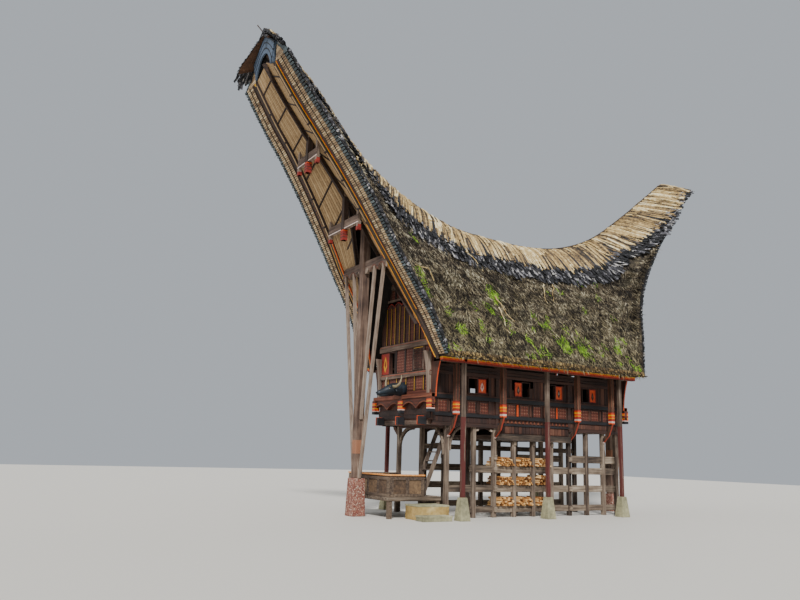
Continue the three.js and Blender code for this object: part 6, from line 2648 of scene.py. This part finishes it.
@dataclass
class HornSupports:
    """Great posts on their pedestals, the scalloped yokes with their stays, and the cross beams above."""

    posts: Table = ((-6.92, 8.3), (5.27, 9.23))
    yoke_half: tuple[float, float] = (1.55, 1.4)
    yoke_tall: float = 0.45
    yoke_thick: float = 0.1
    yoke_scallops: int = 6
    beams: tuple[tuple[str, float, float, float], ...] = (
        ("front_lower", -7.8, 9.97, 1.13), ("front_upper", -9.32, 12.15, 0.8),
        ("rear_lower", 6.1, 10.85, 1.05), ("rear_upper", 7.5, 12.5, 0.8),
    )
    beam_tall: float = 0.3
    beam_thick: float = 0.11
    king: float = 0.17
    king_drop: float = 0.55
    strut: float = 0.12
    strut_drop: float = 0.42
    strut_inset: float = 0.07

    def build(self) -> None:
        """Dress both ends."""
        self.skin = Skin("horn_support", "wood")
        for (y, low), half, end in zip(self.posts, self.yoke_half, End):
            self.yoke(y, low, half)
            label = end.name.lower()
            softened(f"{label}_great_post", GREAT_WOOD, 0.02)
            softened(f"{label}_pedestal", PEBBLES, 0.02)
            softened(f"{label}_yoke", STAY_WOOD, 0.006)
        for name, y, z, half in self.beams:
            self.cross_beam(name, y, z, half)
            softened(f"{name}_cross_beam", STAY_WOOD, 0.008)
        self.skin.settle()

    def yoke(self, y: float, low: float, half: float) -> None:
        """Board the yoke's faces in grey-brown and edge its scallops in orange.

        Args:
            y: Where along the house.
            low: Height of its lower edge.
            half: Half its length.
        """
        for out in (-1, 1):
            face = WallFace(Plane.GABLE, y + out * self.yoke_thick / 2, out)
            high = low + self.yoke_tall
            for k, outline in enumerate(scallop_edge(half, low, high, self.yoke_scallops, 0.03)):
                arch = outline[: len(outline) // 2]
                face.plate(
                    self.skin[BEAM_WOOD], [*arch, (arch[-1][0], high), (arch[0][0], high)], 0.006,
                    0.35 + 0.1 * (k % 2),
                )
                if min(abs(u) for u, _ in outline) > 0.2:
                    face.plate(self.skin[RED_PLANK], outline, 0.012, 0.8)

    def cross_beam(self, name: str, y: float, z: float, half: float) -> None:
        """Face one beam with weathered boards over a white line, and hang its painted pendants.

        Args:
            name: Start of its node's name.
            y: Where along the house.
            z: Height of its middle.
            half: Half its length.
        """
        low, high = z - self.beam_tall / 2, z + self.beam_tall / 2
        for out in (-1, 1):
            face = WallFace(Plane.GABLE, y + out * self.beam_thick / 2, out)
            face.slab(self.skin[BEAM_WOOD], (-half, half), (low + 0.04, high - 0.01), 0.006, 0.5)
            face.slab(self.skin[WHITE_PAINT], (-half, half), (low, low + 0.03), 0.012, 0.9)
        top = float(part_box(f"{name}_cross_beam")[1][2])
        k = self.king / 2 + 0.006
        foot = z - self.king_drop
        self.skin[KING_WOOD].box((-k, k), about(y, k), (low - 0.02, min(top - 0.12, high + 0.9)), 0.4)
        self.skin[RED_PAINT].box(
            (-k - 0.004, k + 0.004), (y - k - 0.004, y + k + 0.004), (foot, low - 0.07), 0.15
        )
        self.skin[ORANGE_PAINT].box(
            (-k - 0.008, k + 0.008), (y - k - 0.008, y + k + 0.008), (low - 0.07, low - 0.03), 0.3
        )
        for dz in (0.1, 0.2):
            self.skin[KING_WOOD].box(
                (-k - 0.007, k + 0.007), (y - k - 0.007, y + k + 0.007), (foot + dz, foot + dz + 0.02), 0.2
            )
        for side in (-1, 1):
            x, s = side * (half - self.strut_inset), self.strut / 2 + 0.005
            base = z - self.strut_drop
            self.skin[RED_PAINT].box(about(x, s), about(y, s), (base, base + 0.13), 0.3)
            edge = sorted((x + side * s, x + side * (s + 0.008)))
            self.skin[RED_PAINT].box(edge, about(y, s), (base + 0.02, base + 0.2), 0.2)


@dataclass
class HornTips:
    """The tips of the horns: ribbed arched boards under a hood of palm matting with ragged fibres."""

    form: RoofForm
    beyond_rim: float = 0.15
    board: float = 0.09
    width: float = 0.3
    crown: float = 0.77
    ribs: tuple[float, ...] = (0.0, 0.34, 0.66)
    hood_right: float = 0.45
    drape: dict[End, float] = field(default_factory=lambda: {End.FRONT: 0.42, End.REAR: 0.3})

    def outline(self, y: float, share: float, steps: int = 20) -> list[tuple[float, float]]:
        """Read a line across the arch, from its lower edge at share 0 to its upper edge at 1.

        Args:
            y: Where along the house.
            share: Which line across the arch.
            steps: Points on each side of the middle.

        Returns:
            Pairs of x and z from left to right.
        """
        low = float(self.form.low(y))
        half = float(self.form.inner(y)) + self.beyond_rim
        inner = half - self.width
        arch = float(self.form.top(y)) - low - self.crown
        line = []
        for k in range(-steps, steps + 1):
            t = k / steps
            upper = (half * t, float(self.form.face(y, abs(half * t))) - 0.06)
            lower = (inner * t, low + 0.01 + arch * (1 - abs(t) ** 2.4))
            line.append((lower[0] + (upper[0] - lower[0]) * share, lower[1] + (upper[1] - lower[1]) * share))
        return line

    def band(
        self, draft: Draft, y: float, share: tuple[float, float], span: Sequence[float], tone: float
    ) -> None:
        """Add the part of the arched board between two shares, as short plates side by side.

        Args:
            draft: The mesh that gets it.
            y: Where the arch is read.
            share: The two shares.
            span: Its two faces along the house.
            tone: Its tone.
        """
        low, high = self.outline(y, share[0]), self.outline(y, share[1])
        for a, b, c, d in zip(low, low[1:], high[1:], high):
            draft.loft([[(p[0], v, p[1]) for p in (a, b, c, d)] for v in sorted(span)], tone)

    def build(self) -> None:
        """Rib the boards, hang the matting over them and fray its edge."""
        skin = Skin("horn_tip", "tip_board")
        fibres = Guide()
        for end in End:
            y = self.form.front_end if end is End.FRONT else self.form.rear_end
            face, out = y + end.value * self.board, end.value
            self.band(skin[SLATE_PAINT], y, (0.0, 1.0), (face - out * 0.02, face + out * 0.008), 0.5)
            for share in self.ribs:
                self.band(
                    skin[SLATE_PAINT], y, (share, min(1.0, share + 0.27)),
                    (face, face + out * (0.03 + 0.02 * share)), 0.7,
                )
                self.band(
                    skin[LAMP_BLACK], y, (share + 0.262, share + 0.33),
                    (face, face + out * (0.036 + 0.02 * share)), 0.2,
                )
            self.hood(skin, fibres, end, y)
            self.end_reeds(skin, end, y)
            softened(f"{end.name.lower()}_tip_board", SLATE_PAINT, 0.012)
        skin[DARK_WOOD].bar((-0.05, -11.15, 16.25), (-0.3, -11.42, 16.72), 0.04, 0.04, 0.5)
        skin.settle()
        laying = Laying(Spread.ALONG_EDGES, pitch=0.03, turn_spread=(0.3, 0.2, 0.3), size_spread=0.5, seed=41)
        laying.lay("tip_fibres", fibres.mesh("tip_fibre_paths"), strip_unit(0.05, 2), PALM_FIBRE_AND_SHADE, "tip_board")

    def hood(self, skin: Skin, fibres: Guide, end: End, y: float) -> None:
        """Drape the matting over the board in overlapping strips that reach furthest low on the left.

        Args:
            skin: The meshes by their finish.
            fibres: The guide that gets the frayed edge.
            end: Which horn.
            y: Where its board stands.
        """
        half = float(self.form.inner(y)) + self.beyond_rim
        out = end.value
        steps = 14
        for layer in (0, 1):
            rings = []
            for k in range(steps + 1):
                x = -half * 1.2 + (half * 1.2 + self.hood_right) * k / steps
                z = float(self.form.face(y, abs(x))) + 0.04
                away = min(1.0, abs(x) / half)
                reach = 0.14 + self.drape[end] * away**1.5 * (1.0 if x < 0 else 0.3) + 0.05 * layer
                sag = 0.3 * away**2 + 0.02 * math.sin(9 * x + 2 * layer) + 0.05 * layer
                rings.append([
                    (x, y - out * 0.15, z + 0.03), (x, y + out * reach, z - sag),
                    (x, y + out * reach, z - sag - 0.03), (x, y - out * 0.15, z),
                ])
            skin[MAT].loft(rings, 0.35 + 0.3 * layer)
            edge = np.array([ring[1] for ring in rings])
            run = unit_of(np.array([0.0, out * 0.6, -0.8]))
            fibres.path(edge, np.array([0.0, out * 0.7, 0.7]), run, np.array([0.07, 0.03, 0.012]))
            side = np.linspace(np.array(rings[0][1]), np.array(rings[0][0]), 6)
            run = unit_of(np.array([-0.5, out * 0.2, -0.8]))
            fibres.path(side, np.array([-0.8, 0.0, 0.5]), run, np.array([0.3, 0.035, 0.014]))
        if end is End.FRONT:
            crest = np.array(
                [(x, y - 0.08, float(self.form.face(y, abs(x))) + 0.05) for x in np.linspace(-0.1, 1.4, 14)]
            )
            for lift, forward in ((0.0, 0.5), (0.04, 0.2)):
                run = unit_of(np.array([0.5, -forward, 0.05]))
                fibres.path(
                    crest + np.array([0.0, 0.0, lift]), np.array([0.0, 0.0, 1.0]), run,
                    np.array([0.14, 0.05, 0.025]),
                )

    def end_reeds(self, skin: Skin, end: End, y: float) -> None:
        """Close the thatch's cut end beside the board with level reeds, and dark flats at its edge.

        Args:
            skin: The meshes by their finish.
            end: Which horn.
            y: Where its board stands.
        """
        low, top, outer = float(self.form.low(y)), float(self.form.top(y)), float(self.form.outer(y))
        half = float(self.form.inner(y)) + self.beyond_rim
        bulge = float(self.form.along("slope_bulge", y))
        for z in np.arange(low + 0.04, float(self.form.face(y, half)) - 0.02, 0.07):
            reach = outer * ((top - z) / (top - low)) ** bulge
            for finish, a, b, proud in (
                (REED, half - 0.01, reach - 0.16, 0.035), (SLATE_FLAT, reach - 0.17, reach + 0.01, 0.05)
            ):
                for side in (-1, 1):
                    if b > half:
                        across = sorted((side * max(a, half - 0.01), side * b))
                        skin[finish].box(
                            across, sorted((y - end.value * 0.01, y + end.value * proud)), about(z, 0.03)
                        )


@dataclass
class Entrance:
    """The deck with its panelled railing, the two steps, the stair and the carved buffalo head."""

    half: float = 1.4
    front: float = -6.46
    back: float = -4.4
    floor: float = 0.7
    rail_top: float = 1.4
    rail_thick: float = 0.05
    step_gap: float = -5.09
    edge_heights: tuple[float, float] = (0.585, 0.69)
    head_sections: tuple[tuple[float, float, float, float], ...] = (
        (-5.09, 0.205, 0.27, 4.35), (-5.25, 0.19, 0.25, 4.34), (-5.42, 0.17, 0.225, 4.33),
        (-5.56, 0.175, 0.215, 4.33), (-5.68, 0.182, 0.2, 4.32), (-5.8, 0.16, 0.175, 4.29),
        (-5.92, 0.125, 0.14, 4.24), (-6.04, 0.104, 0.115, 4.195), (-6.14, 0.098, 0.1, 4.165),
        (-6.21, 0.082, 0.08, 4.15), (-6.25, 0.03, 0.03, 4.15),
    )
    head_sides: int = 24
    horn_path: tuple[Point, ...] = (
        (0.08, -5.66, 4.42), (0.2, -5.65, 4.4), (0.34, -5.63, 4.41), (0.46, -5.6, 4.48), (0.52, -5.58, 4.58),
        (0.53, -5.56, 4.69), (0.49, -5.55, 4.8),
    )

    def build(self) -> None:
        """Panel the railing, dress the deck, and carve the head."""
        self.skin = Skin("entrance", "wood")
        self.railing()
        self.deck_edges()
        self.skin.settle({DECK_WOOD: ("deck_railing",)}, {DECK_WOOD: 0.006})
        softened("entrance_deck", DECK_WOOD, 0.008)
        softened("entrance_stair", SHADED_POST_WOOD, 0.006)
        softened("upper_step", OCHRE_CEMENT, 0.015)
        softened("lower_step", CONCRETE, 0.015)
        steps = Skin("step", "concrete")
        steps[CONCRETE].box((1.29, 2.13), (-5.765, -4.56), (0.425, 0.478), 0.95)
        steps[CONCRETE].box((2.1, 2.57), (-5.875, -4.73), (0.125, 0.178), 0.9)
        steps.settle(bevels={CONCRETE: 0.008})
        self.head()

    def railing(self) -> None:
        """Build the railing of sills, stiles, caps and inset panels round three sides."""
        outer, t = self.half, self.rail_thick
        runs = (
            (Plane.GABLE, self.front, (-outer, outer), 4, 1),
            (Plane.LONG_SIDE, outer, (self.front + t, self.step_gap), 2, -1),
            (Plane.LONG_SIDE, -outer, (self.front + t, self.back), 3, 1),
        )
        for plane, at, (a, b), count, inward in runs:
            def board(
                draft: Draft, across: Sequence[float], heights: Sequence[float], out: float, into: float,
                tone: float,
            ) -> None:
                """Add one board of this run, from its outer to its inner face."""
                depth = sorted((at - inward * out, at + inward * into))
                if plane is Plane.GABLE:
                    draft.box(across, depth, heights, tone)
                else:
                    draft.box(depth, across, heights, tone)
            pitch = (b - a) / count
            board(self.skin[DECK_WOOD], (a, b), (self.floor, self.floor + 0.09), 0.012, t, 0.5)
            board(self.skin[DECK_WOOD], (a, b), (self.rail_top - 0.17, self.rail_top - 0.07), 0.012, t, 0.35)
            board(self.skin[DECK_WOOD], (a, b), (self.rail_top - 0.07, self.rail_top - 0.03), 0.002, t, 0.2)
            for k in range(count + 1):
                middle = min(max(a + pitch * k, a + 0.06), b - 0.06)
                board(
                    self.skin[DECK_WOOD], about(middle, 0.06), (self.floor + 0.08, self.rail_top - 0.16),
                    0.018, t, 0.3 + 0.08 * (k % 3),
                )
            for k in range(count):
                across = (a + pitch * k + 0.05, a + pitch * (k + 1) - 0.05)
                board(
                    self.skin[PANEL_TAN], across, (self.floor + 0.08, self.rail_top - 0.16), -0.014,
                    t - 0.014, 0.2 + 0.25 * ((k * 2) % 3),
                )
        for finish, x, y, rise, tone in (
            (NEW_PLANK, (-outer - 0.02, outer + 0.03), (self.front - 0.03, self.front + 0.09), 0.02, 0.5),
            (NEW_PLANK, (outer - 0.08, outer + 0.03), (self.front + 0.09, self.step_gap + 0.02), 0.02, 0.35),
            (DECK_WOOD, (-outer - 0.02, -outer + 0.08), (self.front + 0.09, self.back), 0.01, 0.6),
        ):
            self.skin[finish].box(x, y, (self.rail_top - 0.03, self.rail_top + rise), tone)

    def deck_edges(self) -> None:
        """Face the deck's edge with boards and lay its floor in planks."""
        count = 12
        pitch = (self.back - self.front - 0.06) / count
        for k in range(count):
            y = self.front + 0.06 + pitch * k
            self.skin[RAIL_WOOD].box(
                (-self.half + 0.06, self.half - 0.02), (y + 0.004, y + pitch - 0.004),
                (self.floor - 0.005, self.floor + 0.012),
            )
        for x, y, tone in (
            ((-self.half - 0.012, self.half + 0.012), (self.front - 0.012, self.front + 0.03), 0.4),
            ((self.half - 0.03, self.half + 0.012), (self.front + 0.03, self.back), 0.35),
            ((-self.half - 0.012, -self.half + 0.03), (self.front + 0.03, self.back), 0.4),
        ):
            self.skin[RAIL_WOOD].box(x, y, self.edge_heights, tone)

    def head(self) -> None:
        """Carve the head with brows, ears and nostrils, and set the real horns in it."""
        made, horns = Draft(), Draft()
        rings = []
        for y, rx, rz, cz in self.head_sections:
            ring = []
            for k in range(self.head_sides):
                t = 2 * math.pi * k / self.head_sides
                narrow = 1 - 0.14 * max(0.0, -math.sin(t)) - 0.06 * max(0.0, math.sin(t))
                ring.append((rx * narrow * math.cos(t), y, cz + rz * math.sin(t)))
            rings.append(ring)
        made.loft(rings, 0.4)
        for side in (-1, 1):
            made.tube(
                [(side * 0.1, -5.66, 4.44), (side * 0.14, -5.74, 4.41), (side * 0.145, -5.83, 4.36)],
                [0.02, 0.05, 0.02], 10, 0.5,
            )
            horns.tube([(side * 0.13, -5.8, 4.34), (side * 0.158, -5.81, 4.34)], [0.024, 0.016], 10, 0.9)
            ear = [(side * 0.15, -5.6, 4.34), (side * 0.26, -5.6, 4.29), (side * 0.34, -5.62, 4.22)]
            made.tube(ear, [0.03, 0.045, 0.008], 8, 0.7)
            made.tube([(side * 0.045, -6.19, 4.17), (side * 0.05, -6.25, 4.165)], [0.028, 0.018], 8, 0.1)
            path = [(side * x, y, z) for x, y, z in self.horn_path]
            horns.tube(path, [0.052, 0.054, 0.05, 0.043, 0.034, 0.024, 0.008], 12, 0.55)
        jaw = [(0.0, -5.6, 4.16), (0.0, -5.9, 4.11), (0.0, -6.14, 4.09)]
        made.tube(jaw, [0.08, 0.065, 0.05], 10, 0.3)
        smooth_sides(
            piece("carved_head", made.mesh("carved_head"), HEAD_BLACK, ("buffalo_head",))
        )
        smooth_sides(piece("head_horns", horns.mesh("head_horns"), HORN))


@dataclass(frozen=True)
class Studio:
    """The camera at the photograph's place, a plain pale floor and soft light."""

    eye: Point = (22.953, -19.377, 2.08)
    sensor: float = 36.0
    focal_pixels: float = 750.75
    picture_width: int = 800
    yaw: float = 58.656
    pitch: float = 11.578
    roll: float = 1.685
    floor_half: float = 60.0
    floor_colour: str = "#cfcac0"

    def camera(self) -> None:
        """Stand the camera in the yard, at a visitor's eye height."""
        yaw, pitch, roll = (math.radians(v) for v in (self.yaw, self.pitch, self.roll))
        ahead = Vector((-math.sin(yaw) * math.cos(pitch), math.cos(yaw) * math.cos(pitch), math.sin(pitch)))
        right = Vector((math.cos(yaw), math.sin(yaw), 0.0))
        up = right.cross(ahead)
        turned = right * math.cos(roll) + up * math.sin(roll)
        raised = up * math.cos(roll) - right * math.sin(roll)
        data = bpy.data.cameras.new("yard_camera")
        data.sensor_width = self.sensor
        data.lens = self.sensor * self.focal_pixels / self.picture_width
        data.clip_end = 400.0
        made = stand("yard_camera", data)
        axes = Matrix((turned, raised, -ahead)).transposed().to_4x4()
        made.matrix_world = Matrix.Translation(self.eye) @ axes
        bpy.context.scene.camera = made

    def light(self) -> None:
        """Light the house with a wide soft sun from the front right and a pale surround."""
        for name, energy, angle, aim in (
            ("key", 4.2, 8.0, (-0.62, 0.42, -0.66)), ("fill", 0.7, 60.0, (0.2, 0.9, -0.3)),
            ("back", 0.6, 60.0, (0.6, -0.7, -0.35)),
        ):
            data = bpy.data.lights.new(name, "SUN")
            data.energy = energy
            data.angle = math.radians(angle)
            stand(name, data).rotation_euler = Vector(aim).to_track_quat("-Z", "Y").to_euler()
        world = bpy.data.worlds.new("studio")
        world.use_nodes = True
        world.node_tree.nodes["Background"].inputs[0].default_value = linear("#dfe6ee")
        world.node_tree.nodes["Background"].inputs[1].default_value = 0.62
        bpy.context.scene.world = world

    def floor(self) -> None:
        """Lay the pale floor."""
        half = self.floor_half
        mesh = bpy.data.meshes.new("studio_floor")
        mesh.from_pydata(
            [(-half, -half, 0), (half, -half, 0), (half, half, 0), (-half, half, 0)], [], [(0, 1, 2, 3)]
        )
        finish = Finish("matt_floor", ((0.0, self.floor_colour), (1.0, self.floor_colour)), bump=0.0)
        mesh.materials.append(finish.material())
        stand("studio_floor", mesh)


def main() -> None:
    """Build the house in order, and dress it."""
    logging.basicConfig(level=logging.INFO, format="%(message)s")
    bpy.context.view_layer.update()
    form = RoofForm()
    parts = (
        Entrance(), Understorey(), SideFacade(Side.RIGHT), SideFacade(Side.LEFT),
        GableFacade(form, End.FRONT), GableFacade(form, End.REAR), Eaves(), HornSupports(), HornTips(form),
        ThatchSlopes(form), RoofRims(form), RidgeCap(form), HornLinings(form),
    )
    for part in parts:
        log.info("building %s", type(part).__name__)
        part.build()
    studio = Studio()
    studio.camera()
    studio.light()
    studio.floor()


if __name__ == "__main__":
    main()
